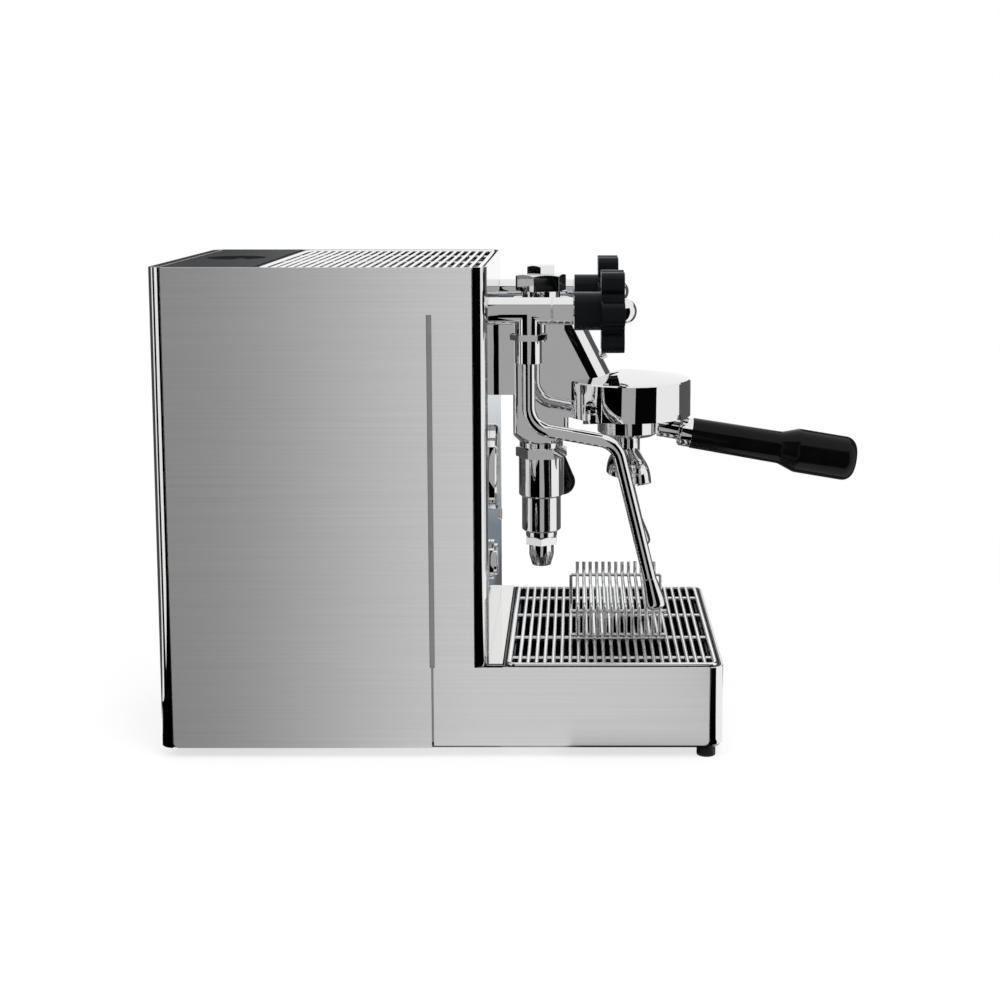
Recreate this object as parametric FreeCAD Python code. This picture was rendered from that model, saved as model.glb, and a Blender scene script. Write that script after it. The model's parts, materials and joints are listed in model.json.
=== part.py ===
import FreeCAD
import Part
import math
import os

# Espresso machine with a lever group, two valve wands and a lift-out water tank.
# Millimetres. X runs from the rear panel to the front, Y to the user's right, Z up from the worktop.
# Every sub-part is built with the rear panel's outer face at X = 0, and the whole machine is then
# moved so that the origin lies under the middle of its box.

V = FreeCAD.Vector
X_AXIS = V(1, 0, 0)
Y_AXIS = V(0, 1, 0)
Z_AXIS = V(0, 0, 1)
LEFT = -1
RIGHT = 1
SIDES = (LEFT, RIGHT)

# Fits
SEAM = 0.4
SEAT_GAP = 0.3
SLIDE_GAP = 0.5
SHAFT_FIT = 0.05
HOLE_GAP = 0.2

# Tests on edges: places this close count as one, and edges this steep count as upright
MATCH = 0.01
UPRIGHT = 0.999

# Casing
WIDTH = 220.0
BODY_DEPTH = 242.0
BASE_REACH = 172.0
BASE_HEIGHT = 60.8
BODY_ABOVE_RIM = 123.1
SHEET = 1.5
BASE_SHEET = 2.0
CORNER_RADIUS = 10.0
BOTTOM_ROUND = 4.0
REAR_RIM = 8.0
LEDGE_DEPTH = 10.0
LEDGE_END_GAP = 2.0
SLIT_FROM_FRONT = 41.2
SLIT_WIDTH = 3.6
SLIT_TOP_DROP = 34.0
LOW_SLIT_WIDTH = 1.4
BASE_RAISE = 1.8

# Feet
FOOT_HEIGHT = 8.0
FOOT_RADIUS = 7.0
FRONT_FOOT_INSET = 12.0
FRONT_FOOT_SIDE = 10.0
REAR_FOOT_INSET = 30.0
REAR_FOOT_SIDE = 35.0

# Water tank and its lid
LID_DEPTH = 66.0
LID_THICKNESS = 11.0
LID_PLUG = 4.0
WELL_RADIUS = 23.0
WELL_DEPTH = 8.5
WELL_BAR_WIDTH = 7.0
WELL_BAR_DEPTH = 3.0
WELL_BAR_SINK = 2.0
TANK_HEIGHT = 178.0
TANK_WALL = 2.5
TANK_SIDE_ROOM = 6.0
TANK_END_ROOM = 3.0
TANK_CORNER = 9.0
SHELF_LIP = 25.0

# Wire racks
ROD_RADIUS = 1.5
FRAME_ROD_RADIUS = 2.0
UNDER_ROD_RADIUS = 1.75
ROD_PITCH = 6.2
WELD_DEPTH = 0.5
CORNER_ROOM = 0.2
RACK_ROD_INSET = 34.5
GRILLE_ROD_SIDE = 30.0
GRILLE_ROD_INSET = 28.0
PAN_WALL = 1.2
RACK_SIDE_ROOM = 1.0

# Drip tray and cup stand
TRAY_LEDGE = 6.0
STAND_FROM_FRONT = 43.7
STAND_WIRES = 13
STAND_PITCH = 5.28
STAND_WIRE_RADIUS = 1.4
STAND_HEIGHT = 27.0
STAND_LIP = 11.0
STAND_NEAR = 43.0
STAND_FAR = 47.0
STAND_BEND = 4.0

# Lever group: reaches are from the front panel, rises and drops from the bell's rim,
# and the rim's own rise is from the base's top
GROUP_REACH = 36.4
BELL_REACH = 105.2
BELL_RIM_RISE = 169.6
GROUP_THICKNESS = 36.0
COLUMN_WIDTH = 43.0
COLUMN_RISE = 91.6
COLUMN_DROP = 21.4
COLUMN_EDGE = 4.0
COLUMN_TAPER = 9.0
FLANGE_HEIGHT = 72.0
FLANGE_STEP = 1.0
FLANGE_RISE = 53.6
SPIGOT_RADIUS = 20.0
SPIGOT_LENGTH = 8.0
NOSE_TOP_REACH = 61.0
NOSE_ANGLE = 27.0
BELL_WALL = 6.0
BELL_ROOF = 10.0
BELL_CROWN = 7.0
BELL_EDGE = 1.0
BORE_ROOM = 2.5
BELL_BORE_DEPTH = 18.6
CHANNEL_FLOOR = 2.4
EAR_ROOM = 1.5
EAR_LIFT = 0.9
NOTCH_ANGLE = 231.0
NOTCH_HALF_WIDTH = 22.0
ARCH_WIDTH = 10.0
ARCH_HEIGHT = 16.0
GASKET_WIDTH = 8.0
GASKET_THICKNESS = 7.0
SCREEN_THICKNESS = 4.0
SCREEN_SCREW_RADIUS = 4.5
SCREEN_SCREW_HEIGHT = 1.5
TOP_NUT_FLATS = 35.0
TOP_NUT_HEIGHT = 13.0
TOP_NECK_RADIUS = 15.0
TOP_NECK_HEIGHT = 6.0
CAP_NUT_FLATS = 21.0
CAP_NUT_HEIGHT = 7.0
NUT_CHAMFER = 1.5
BLEED_RADIUS = 3.2
BLEED_LENGTH = 5.5
BLEED_SEAT = 2.0
BLEED_RISE = 46.3

# Chamber under the group
CHAMBER_NECK_RADIUS = 17.2
CHAMBER_NECK = 3.7
COLLAR_FLATS = 35.0
COLLAR_HEIGHT = 8.3
UPPER_CHAMBER_RADIUS = 17.8
UPPER_CHAMBER_LENGTH = 31.5
LOWER_CHAMBER_RADIUS = 15.4
LOWER_CHAMBER_LENGTH = 28.0
CHAMBER_CHAMFER = 1.5
CHAMBER_TAIL_RADIUS = 12.4
CHAMBER_TAIL = 4.0
DRAIN_FLATS = 24.0
DRAIN_NUT_HEIGHT = 6.5
NOZZLE_RADIUS = 9.8
NOZZLE_END_RADIUS = 7.1
NOZZLE_LENGTH = 9.0
NOZZLE_TAPER = 8.5
NOZZLE_BORE = 4.0

# Brew lever
LEVER_RISE = 1.6
LEVER_SIDE = 50.0
LEVER_ANGLE = 13.4
SHAFT_RADIUS = 6.0
SHAFT_DEPTH = 14.0
GLAND_WALL = 4.95
GLAND_LENGTH = 9.0
HUB_RADIUS = 9.0
HUB_LENGTH = 12.0
ARM_RADIUS = 4.0
GRIP_START = 40.0
GRIP_END = 79.0
GRIP_NECK_RADIUS = 6.5
GRIP_RADIUS = 11.0
GRIP_SOCKET = 12.0

# Portafilter
RIM_RADIUS = 34.5
RIM_WALL = 4.2
RIM_HEIGHT = 8.2
BOWL_RADIUS = 24.5
BOWL_WALL = 2.5
BOWL_HEIGHT = 21.4
BOWL_CORNER = 4.6
BOWL_CORNER_RISE = 5.5
BOSS_RADIUS = 9.0
BOSS_LENGTH = 1.6
OUTLET_RADIUS = 4.0
EAR_REACH = 6.5
EAR_HEIGHT = 5.8
EAR_HALF_ANGLE = 17.0
EAR_TRAVEL = 45.0
REAR_LUG_REACH = 1.5
REAR_LUG_HEIGHT = 7.0
REAR_LUG_HALF_ANGLE = 9.0
HANDLE_ROOM = 2.3
HANDLE_TILT = 9.6
NECK_RADIUS = 7.0
FERRULE_START = 39.5
FERRULE_LENGTH = 10.5
FERRULE_RADIUS = 11.5
FERRULE_CHAMFER = 2.0
HANDLE_ROOT_RADIUS = 12.0
HANDLE_WAIST_RADIUS = 12.7
HANDLE_GRIP_RADIUS = 17.3
HANDLE_WAIST_LENGTH = 71.0
HANDLE_FLARE_LENGTH = 13.0
HANDLE_GRIP_LENGTH = 47.0
HANDLE_END_ROUND = 9.0
HANDLE_FLARE_ROUND = 8.0
SPOUT_SPREAD = 25.5
SPOUT_TURN = 20.0
SPOUT_RADIUS = 8.3
SPOUT_BORE = 5.8
SPOUT_STEM = 2.0
SPOUT_DROP = 29.2
SPOUT_BEND = 14.0
SPOUT_CUT = 18.0
SPOUT_SLANT = 26.0
BASKET_DEPTH = 19.9
BASKET_WALL = 0.8
BASKET_FLANGE_INSET = 1.5
BASKET_FLANGE_THICKNESS = 0.6
BASKET_GAP = 0.4

# Valves, knobs and wands
VALVE_INSET = 24.0
VALVE_DROP = 33.5
VALVE_RADIUS = 10.0
VALVE_LENGTH = 62.0
VALVE_GROOVE_FROM_END = 16.2
VALVE_GROOVE_WIDTH = 1.2
VALVE_GROOVE_DEPTH = 0.7
VALVE_TAIL_RADIUS = 7.0
VALVE_TAIL = 16.0
LOCKNUT_WALL = 2.95
LOCKNUT_HEIGHT = 5.0
TEE_REACH = 29.2
TEE_RADIUS = 9.9
TEE_DROP = 38.0
SWIVEL_NUT_WALL = 1.95
SWIVEL_NUT_HEIGHT = 4.5
SWIVEL_NUT_DROP = 16.5
SPINDLE_RADIUS = 4.0
SPINDLE_IN_VALVE = 16.0
SPINDLE_IN_KNOB = 26.0
KNOB_HUB_RADIUS = 14.0
KNOB_HUB_LENGTH = 19.5
KNOB_STAR_LENGTH = 16.8
KNOB_LOBES = 6
KNOB_LOBE_RADIUS = 8.9
KNOB_LOBE_CENTRE = 23.5
KNOB_CORE_RADIUS = 22.5
CAP_RADIUS = 9.6
CAP_HEIGHT = 9.3
WAND_RADIUS = 5.0
WAND_BORE = 3.5
WAND_IN_TEE = 11.0
WAND_DROP = 47.7
WAND_REACH = 64.3
WAND_RUN_FALL = 11.7
WAND_TOP_BEND = 18.6
WAND_FRONT_BEND = 17.4
WAND_LEAN = 13.7
WAND_LEG = 104.0
TIP_LENGTH = 24.0
TIP_RADIUS = 7.4
TIP_END = 7.5
TIP_ROUND = 4.5
WATER_WAND_TURN = 12.0

# Front panel gauge, button and lamp
GAUGE_INSET = 46.0
GAUGE_DROP = 29.4
BEZEL_WALL = 3.5
GAUGE_BEZEL_LENGTH = 5.8
BEZEL_ROUND = 1.5
GAUGE_BODY_STEP = 1.5
GAUGE_BODY_LENGTH = 24.0
GAUGE_FACE_RADIUS = 28.5
GAUGE_FACE_DEPTH = 5.0
DIAL_THICKNESS = 0.8
GLASS_THICKNESS = 1.5
NEEDLE_THICKNESS = 0.8
NEEDLE_LENGTH = 22.0
NEEDLE_TAIL = 6.0
NEEDLE_WIDTH = 1.6
NEEDLE_HUB_RADIUS = 3.0
NEEDLE_PIN_RADIUS = 1.0
NEEDLE_ZERO = 225.0
BUTTON_INSET = 35.0
BUTTON_RISE = 71.8
BUTTON_RADIUS = 11.5
BUTTON_STEM = 14.0
BUTTON_TRAVEL = 3.0
BUTTON_RIM = 3.0
BUTTON_RIM_LENGTH = 3.0
LAMP_RADIUS = 5.0
LAMP_PROUD = 1.6
LAMP_STEM_RADIUS = 3.8
LAMP_STEM = 14.0

# Inside
BOILER_RADIUS = 52.0
BOILER_SIDE_ROOM = 33.5
BOILER_REAR_ROOM = 20.5
BOILER_DROP = 30.0
BOILER_DISH = 8.0
BOILER_WALL = 2.0
CRADLE_SIDE = 45.0
CRADLE_THICKNESS = 4.0
CRADLE_WIDTH = 60.0
CRADLE_FOOT = 14.0
CRADLE_WRAP = 18.0
ELEMENT_RADIUS = 22.0
ELEMENT_FLANGE = 6.0
TERMINAL_RADIUS = 2.5
TERMINAL_LENGTH = 14.0
TERMINAL_SPACING = 9.0
PIPE_RADIUS = 4.0
PIPE_BORE = 3.0
GROUP_PIPE_RISE = 13.0
STEAM_PIPE_SIDE = 40.0
STEAM_PIPE_AHEAD = 14.0
PIPE_BEND = 9.0
PUMP_RADIUS = 19.0
PUMP_LENGTH = 110.0
PUMP_ROOM = 2.0
PUMP_CLEARANCE = 12.0
PUMP_FOOT_LENGTH = 16.0
PUMP_PORT_RADIUS = 5.0
PUMP_PORT_LENGTH = 14.0
CONTROL_BOX_DEPTH = 45.0
CONTROL_BOX_WIDTH = 110.0
CONTROL_BOX_HEIGHT = 80.0
INLET_INSET = 40.0
INLET_RISE = 34.0
INLET_WIDTH = 27.0
INLET_TALL = 20.0
INLET_DEPTH = 22.0
INLET_WALL = 2.0
INLET_FLANGE = 4.0
INLET_FLANGE_THICKNESS = 2.0
INLET_PIN_WIDTH = 4.0
INLET_PIN_THICKNESS = 2.0
INLET_PIN_LENGTH = 14.0
INLET_PIN_SPACING = 7.0
INLET_PIN_OFFSET = 2.0

# Places worked out from the sizes above
HALF = WIDTH / 2
INNER_HALF = HALF - SHEET
FLOOR_TOP = FOOT_HEIGHT + BASE_SHEET
BASE_TOP = FOOT_HEIGHT + BASE_HEIGHT
BASE_DEPTH = BODY_DEPTH + BASE_REACH
BELL_RIM_HEIGHT = BASE_TOP + BELL_RIM_RISE
BODY_TOP = BELL_RIM_HEIGHT + BODY_ABOVE_RIM
SLIT_X = BODY_DEPTH - SLIT_FROM_FRONT
UPPER_FRONT = BODY_DEPTH - CORNER_RADIUS
LOWER_FRONT = BASE_DEPTH - CORNER_RADIUS
PANEL_BACK = BODY_DEPTH - SHEET
PANEL_FOOT = BASE_TOP + SEAM
LEDGE_FRONT = BODY_DEPTH + LEDGE_DEPTH
LID_START = REAR_RIM + SLIDE_GAP
LID_END = LID_START + LID_DEPTH
LID_CENTRE = (LID_START + LID_END) / 2
LID_FLOOR = BODY_TOP - LID_THICKNESS
TANK_TOP = LID_FLOOR
TANK_FLOOR = TANK_TOP - TANK_HEIGHT
FRAME_CORNER = ROD_PITCH - ROD_RADIUS - CORNER_ROOM
RACK_THICKNESS = FRAME_ROD_RADIUS + ROD_RADIUS - WELD_DEPTH + 2 * UNDER_ROD_RADIUS
COLUMN_X = BODY_DEPTH + GROUP_REACH
BELL_X = BODY_DEPTH + BELL_REACH
COLUMN_REAR = COLUMN_X - COLUMN_WIDTH / 2
COLUMN_FRONT = COLUMN_X + COLUMN_WIDTH / 2
COLUMN_BOTTOM = BELL_RIM_HEIGHT - COLUMN_DROP
COLUMN_TOP = BELL_RIM_HEIGHT + COLUMN_RISE
FLANGE_Z = BELL_RIM_HEIGHT + FLANGE_RISE
BORE_TOP = BELL_RIM_HEIGHT + BELL_BORE_DEPTH
BELL_SHOULDER = BORE_TOP + BELL_ROOF
BELL_BORE = RIM_RADIUS + BORE_ROOM
EAR_RADIUS = RIM_RADIUS + EAR_REACH
CHANNEL_RADIUS = EAR_RADIUS + EAR_ROOM
CHANNEL_TOP = CHANNEL_FLOOR + SLIDE_GAP + EAR_HEIGHT + EAR_LIFT
BELL_RADIUS = CHANNEL_RADIUS + BELL_WALL
REAR_LUG_RADIUS = RIM_RADIUS + REAR_LUG_REACH
GASKET_INNER = BELL_BORE - GASKET_WIDTH
SCREEN_RADIUS = GASKET_INNER - SLIDE_GAP
GASKET_BOTTOM = BORE_TOP - GASKET_THICKNESS
COLLAR_TOP = COLUMN_BOTTOM - CHAMBER_NECK
COLLAR_BOTTOM = COLLAR_TOP - COLLAR_HEIGHT
UPPER_CHAMBER_BOTTOM = COLLAR_BOTTOM - UPPER_CHAMBER_LENGTH
LOWER_CHAMBER_BOTTOM = UPPER_CHAMBER_BOTTOM - LOWER_CHAMBER_LENGTH
CHAMBER_BOTTOM = LOWER_CHAMBER_BOTTOM - CHAMBER_TAIL
DRAIN_NUT_BOTTOM = CHAMBER_BOTTOM - DRAIN_NUT_HEIGHT
LEVER_Z = BELL_RIM_HEIGHT + LEVER_RISE
GROUP_HALF = GROUP_THICKNESS / 2
BASKET_TOP = GASKET_BOTTOM - SEAT_GAP
RIM_TOP = BASKET_TOP - BASKET_FLANGE_THICKNESS
RIM_BOTTOM = RIM_TOP - RIM_HEIGHT
BOWL_BOTTOM = RIM_BOTTOM - BOWL_HEIGHT
BOSS_BOTTOM = BOWL_BOTTOM - BOSS_LENGTH
BASKET_FLOOR = BASKET_TOP - BASKET_DEPTH
HANDLE_ANGLE = math.radians(HANDLE_TILT)
FERRULE_RISE = FERRULE_RADIUS * math.cos(HANDLE_ANGLE)
FERRULE_FALL = (FERRULE_START + FERRULE_CHAMFER) * math.sin(HANDLE_ANGLE)
HANDLE_Z = BELL_RIM_HEIGHT - HANDLE_ROOM - FERRULE_RISE + FERRULE_FALL
VALVE_SIDE = HALF - VALVE_INSET
VALVE_Z = BODY_TOP - VALVE_DROP
VALVE_END = BODY_DEPTH + VALVE_LENGTH
TEE_X = BODY_DEPTH + TEE_REACH
TEE_BOTTOM = VALVE_Z - TEE_DROP
KNOB_START = VALVE_END + SEAM
STAR_START = KNOB_START + KNOB_HUB_LENGTH
KNOB_END = STAR_START + KNOB_STAR_LENGTH
GAUGE_Y = GAUGE_INSET - HALF
GAUGE_HEIGHT = BELL_RIM_HEIGHT - GAUGE_DROP
GAUGE_BEZEL_RADIUS = GAUGE_FACE_RADIUS + BEZEL_WALL
GAUGE_BODY_RADIUS = GAUGE_FACE_RADIUS - GAUGE_BODY_STEP
GAUGE_FRONT = BODY_DEPTH + GAUGE_BEZEL_LENGTH
DIAL_BACK = GAUGE_FRONT - GAUGE_FACE_DEPTH
BUTTON_SIDE = HALF - BUTTON_INSET
BUTTON_HEIGHT = PANEL_FOOT + BUTTON_RISE
BUTTON_FACE = BODY_DEPTH + BUTTON_RIM_LENGTH + BUTTON_TRAVEL
GRILLE_TOP = BASE_TOP + SEAM + SHEET
TRAY_BACK = LEDGE_FRONT + SLIDE_GAP
TRAY_FLOOR = FLOOR_TOP + SEAT_GAP
TRAY_HALF = INNER_HALF - SLIDE_GAP
TRAY_FRONT_INNER = BASE_DEPTH - SHEET
BOILER_X = LID_END + BOILER_REAR_ROOM + BOILER_RADIUS
BOILER_Z = FLANGE_Z - BOILER_DROP
BOILER_LENGTH = 2 * (INNER_HALF - BOILER_SIDE_ROOM)
BOILER_FLOOR = BOILER_Z - BOILER_RADIUS
PUMP_X = BOILER_X - CRADLE_WIDTH / 2 - PUMP_ROOM - PUMP_RADIUS
CONTROL_BOX_FRONT = PUMP_X - PUMP_RADIUS - PUMP_ROOM
INLET_SIDE = HALF - INLET_INSET
INLET_HEIGHT = FOOT_HEIGHT + INLET_RISE


def block(x_range, y_range, z_range):
    """Box between the two ends of each range."""
    size = [pair[1] - pair[0] for pair in (x_range, y_range, z_range)]
    return Part.makeBox(*size, V(x_range[0], y_range[0], z_range[0]))


def rod(start, end, radius):
    """Round bar between two points."""
    span = end - start
    return Part.makeCylinder(radius, span.Length, start, span)


def disc_x(radius, x_range, y, z):
    """Cylinder along X."""
    return rod(V(x_range[0], y, z), V(x_range[1], y, z), radius)


def disc_z(radius, z_range, x, y):
    """Cylinder along Z."""
    return rod(V(x, y, z_range[0]), V(x, y, z_range[1]), radius)


def hexagon(flats, start, length, axis, across):
    """Hexagonal bar of a length along an axis, with a flat square to the across direction."""
    corner = flats / 2 / math.cos(math.pi / 6)
    side = axis.cross(across)
    points = []
    for step in range(7):
        angle = math.radians(30 + 60 * step)
        points.append(start + across * (corner * math.cos(angle)) + side * (corner * math.sin(angle)))
    return Part.Face(Part.makePolygon(points)).extrude(axis * length)


def turned(profile, start, axis, across):
    """Solid of revolution; the profile gives radius and distance along the axis."""
    points = [start + across * radius + axis * along for radius, along in profile]
    points.append(points[0])
    return Part.Face(Part.makePolygon(points)).revolve(start, axis, 360)


def turned_z(profile, x, y):
    """Solid turned about a vertical axis; the profile gives radius and height."""
    return turned(profile, V(x, y, 0), Z_AXIS, X_AXIS)


def ring_sector(inner, outer, z_range, middle, half_angle):
    """Part of a ring about the bell's axis, centred on a compass angle."""
    height = z_range[1] - z_range[0]
    base = V(BELL_X, 0, z_range[0])
    wedge = Part.makeCylinder(outer, height, base, Z_AXIS, 2 * half_angle)
    wedge.rotate(base, Z_AXIS, middle - half_angle)
    return wedge.cut(Part.makeCylinder(inner, height, base, Z_AXIS))


def bent_path(points, bends):
    """Wire through the points with an arc of the given radius at each inner point."""
    edges = []
    begin = points[0]
    for before, corner, after, radius in zip(points, points[1:], points[2:], bends):
        inward = (before - corner).normalize()
        outward = (after - corner).normalize()
        half = inward.getAngle(outward) / 2
        first = corner + inward * (radius / math.tan(half))
        last = corner + outward * (radius / math.tan(half))
        towards = (inward + outward).normalize()
        middle = corner + towards * (radius / math.sin(half) - radius)
        edges.append(Part.makeLine(begin, first))
        edges.append(Part.Arc(first, middle, last).toShape())
        begin = last
    edges.append(Part.makeLine(begin, points[-1]))
    return Part.Wire(edges)


def bent_rod(points, bends, radius):
    """Round bar along a bent path."""
    path = bent_path(points, bends)
    heading = points[1] - points[0]
    outline = Part.Wire(Part.makeCircle(radius, points[0], heading))
    return path.makePipeShell([outline], True, True)


def frame_loop(x_range, half_width, z, radius):
    """Rectangular wire frame with round corners, as four bars and four bends."""
    x_low = x_range[0] + FRAME_CORNER
    x_high = x_range[1] - FRAME_CORNER
    y_side = half_width - FRAME_CORNER
    pieces = []
    for y in (-half_width, half_width):
        pieces.append(rod(V(x_low, y, z), V(x_high, y, z), radius))
    for x in x_range:
        pieces.append(rod(V(x, -y_side, z), V(x, y_side, z), radius))
    corners = ((x_high, y_side), (x_low, y_side), (x_low, -y_side), (x_high, -y_side))
    for quarter, (x, y) in enumerate(corners):
        bend = Part.makeTorus(FRAME_CORNER, radius, V(x, y, z), Z_AXIS, -180, 180, 90)
        bend.rotate(V(x, y, z), Z_AXIS, 90 * quarter)
        pieces.append(bend)
    return pieces


def wire_rack(x_range, half_width, top, under_rods):
    """Welded rack: round frame, bars along Y between its sides, and bars along X underneath."""
    frame_z = top - FRAME_ROD_RADIUS
    rod_z = frame_z
    under_z = rod_z - ROD_RADIUS - UNDER_ROD_RADIUS + WELD_DEPTH
    pieces = frame_loop(x_range, half_width, frame_z, FRAME_ROD_RADIUS)
    count = int((x_range[1] - x_range[0]) / ROD_PITCH) - 1
    first = (x_range[0] + x_range[1] - ROD_PITCH * (count - 1)) / 2
    for index in range(count):
        x = first + ROD_PITCH * index
        pieces.append(rod(V(x, -half_width, rod_z), V(x, half_width, rod_z), ROD_RADIUS))
    for y in under_rods:
        pieces.append(rod(V(x_range[0], y, under_z), V(x_range[1], y, under_z), UNDER_ROD_RADIUS))
    return pieces[0].multiFuse(pieces[1:])


def upright_edges(shape, x_places):
    """Vertical edges of a shape that lie at the given X places."""
    found = []
    for edge in shape.Edges:
        upright = abs(edge.tangentAt(edge.FirstParameter).z) > UPRIGHT
        if upright and any(abs(edge.CenterOfMass.x - x) < MATCH for x in x_places):
            found.append(edge)
    return found


def rounded_block(x_range, half_width, z_range, radius, round_at):
    """Box about the middle plane whose vertical edges at the given X places are rounded."""
    shape = block(x_range, (-half_width, half_width), z_range)
    return shape.makeFillet(radius, upright_edges(shape, round_at))


def wrap_sheet(face_x, open_x, z_range):
    """Upright sheet across the machine with rounded corners and short returns along both sides."""
    inward = SHEET if open_x > face_x else -SHEET
    deep_x = face_x + 2 * (open_x - face_x)
    outer = rounded_block(sorted((face_x, deep_x)), HALF, z_range, CORNER_RADIUS, (face_x,))
    inner_range = sorted((face_x + inward, deep_x))
    inner = rounded_block(inner_range, INNER_HALF, z_range, CORNER_RADIUS - SHEET, (face_x + inward,))
    return outer.cut(inner).cut(block(sorted((open_x, deep_x)), (-HALF, HALF), z_range))


def edge_circles(shape, start, axis, along):
    """Round edges of a turned solid whose plane lies at a distance along the axis."""
    found = []
    for edge in shape.Edges:
        if edge.Curve.TypeId != "Part::GeomCircle":
            continue
        if abs((edge.Curve.Center - start).dot(axis) - along) < MATCH:
            found.append(edge)
    return found


def base_plate():
    """Floor of the machine, inside the side panels and under the drip tray."""
    ends = (SHEET, BASE_DEPTH - SHEET)
    return rounded_block(ends, INNER_HALF, (FOOT_HEIGHT, FLOOR_TOP), CORNER_RADIUS, ends)


def rear_panel():
    """Back wall with rounded corners, a rim along its top and the mains inlet's hole."""
    wall = wrap_sheet(0, CORNER_RADIUS, (FOOT_HEIGHT, BODY_TOP))
    rim_half = HALF - CORNER_RADIUS
    rim = block((SHEET, REAR_RIM), (-rim_half, rim_half), (BODY_TOP - SHEET, BODY_TOP))
    half_wide = INLET_WIDTH / 2 + HOLE_GAP
    half_tall = INLET_TALL / 2 + HOLE_GAP
    hole_y = (INLET_SIDE - half_wide, INLET_SIDE + half_wide)
    hole_z = (INLET_HEIGHT - half_tall, INLET_HEIGHT + half_tall)
    return wall.fuse(rim).cut(block((0, SHEET), hole_y, hole_z))


def side_panel(side):
    """Flat L-shaped sheet with a long slit that is open at the bottom."""
    back = CORNER_RADIUS + SEAM
    upper_front = UPPER_FRONT - SEAM
    lower_front = LOWER_FRONT - SEAM
    step = FOOT_HEIGHT + BASE_RAISE
    outline = [
        V(back, 0, FOOT_HEIGHT),
        V(SLIT_X, 0, FOOT_HEIGHT),
        V(SLIT_X, 0, step),
        V(lower_front, 0, step),
        V(lower_front, 0, BASE_TOP),
        V(upper_front, 0, BASE_TOP),
        V(upper_front, 0, BODY_TOP),
        V(back, 0, BODY_TOP),
    ]
    sheet = Part.Face(Part.makePolygon(outline + outline[:1])).extrude(V(0, SHEET, 0))
    corners = (outline[0], outline[3])
    rounded = []
    for edge in sheet.Edges:
        middle = edge.CenterOfMass
        if any(math.hypot(middle.x - at.x, middle.z - at.z) < MATCH for at in corners):
            rounded.append(edge)
    sheet = sheet.makeFillet(BOTTOM_ROUND, rounded)
    for width, low, high in (
        (SLIT_WIDTH, BASE_TOP, BODY_TOP - SLIT_TOP_DROP),
        (LOW_SLIT_WIDTH, FOOT_HEIGHT, BASE_TOP),
    ):
        across = (SLIT_X - width / 2, SLIT_X + width / 2)
        sheet = sheet.cut(block(across, (0, SHEET), (low, high)))
    sheet.translate(V(0, INNER_HALF if side == RIGHT else -HALF, 0))
    return sheet


def front_panel():
    """Polished front with rounded corners, a ledge over the drip tray and a wall behind the tray."""
    face = wrap_sheet(BODY_DEPTH, UPPER_FRONT, (PANEL_FOOT, BODY_TOP))
    across = (-INNER_HALF + LEDGE_END_GAP, INNER_HALF - LEDGE_END_GAP)
    ledge = block((PANEL_BACK, LEDGE_FRONT), across, (PANEL_FOOT, PANEL_FOOT + SHEET))
    skirt = block((LEDGE_FRONT - SHEET, LEDGE_FRONT), across, (FLOOR_TOP, PANEL_FOOT + SHEET))
    sheet = face.multiFuse([ledge, skirt])
    span = (PANEL_BACK, BODY_DEPTH)
    holes = [disc_x(SPIGOT_RADIUS + HOLE_GAP, span, 0, FLANGE_Z)]
    for side in SIDES:
        holes.append(disc_x(VALVE_TAIL_RADIUS + HOLE_GAP, span, side * VALVE_SIDE, VALVE_Z))
    holes.append(disc_x(GAUGE_BODY_RADIUS + HOLE_GAP, span, GAUGE_Y, GAUGE_HEIGHT))
    holes.append(disc_x(BUTTON_RADIUS + SLIDE_GAP, span, LEFT * BUTTON_SIDE, BUTTON_HEIGHT))
    holes.append(disc_x(LAMP_STEM_RADIUS + HOLE_GAP, span, RIGHT * BUTTON_SIDE, BUTTON_HEIGHT))
    return sheet.cut(Part.makeCompound(holes))


def feet():
    """Four round feet under the base plate."""
    places = []
    for side in SIDES:
        places.append((BASE_DEPTH - FRONT_FOOT_INSET, side * (HALF - FRONT_FOOT_SIDE)))
        places.append((REAR_FOOT_INSET, side * (HALF - REAR_FOOT_SIDE)))
    return Part.makeCompound([disc_z(FOOT_RADIUS, (0, FOOT_HEIGHT), x, y) for x, y in places])


def tank_shelf():
    """Sheet across the body that carries the water tank, with a lip down the rear panel."""
    plate = rounded_block(
        (SHEET, LID_END), INNER_HALF, (TANK_FLOOR - SHEET, TANK_FLOOR), CORNER_RADIUS, (SHEET,)
    )
    lip_half = INNER_HALF - CORNER_RADIUS
    lip = block((SHEET, 2 * SHEET), (-lip_half, lip_half), (TANK_FLOOR - SHELF_LIP, TANK_FLOOR))
    return plate.fuse(lip)


def water_tank():
    """Open-topped tank that lifts out through the body's top."""
    ends = (LID_START + TANK_END_ROOM, LID_END - TANK_END_ROOM)
    half = INNER_HALF - TANK_SIDE_ROOM
    outer = rounded_block(ends, half, (TANK_FLOOR, TANK_TOP), TANK_CORNER, ends)
    inner_ends = (ends[0] + TANK_WALL, ends[1] - TANK_WALL)
    hollow = rounded_block(
        inner_ends, half - TANK_WALL, (TANK_FLOOR + TANK_WALL, TANK_TOP), TANK_CORNER - TANK_WALL, inner_ends
    )
    return outer.cut(hollow)


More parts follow.
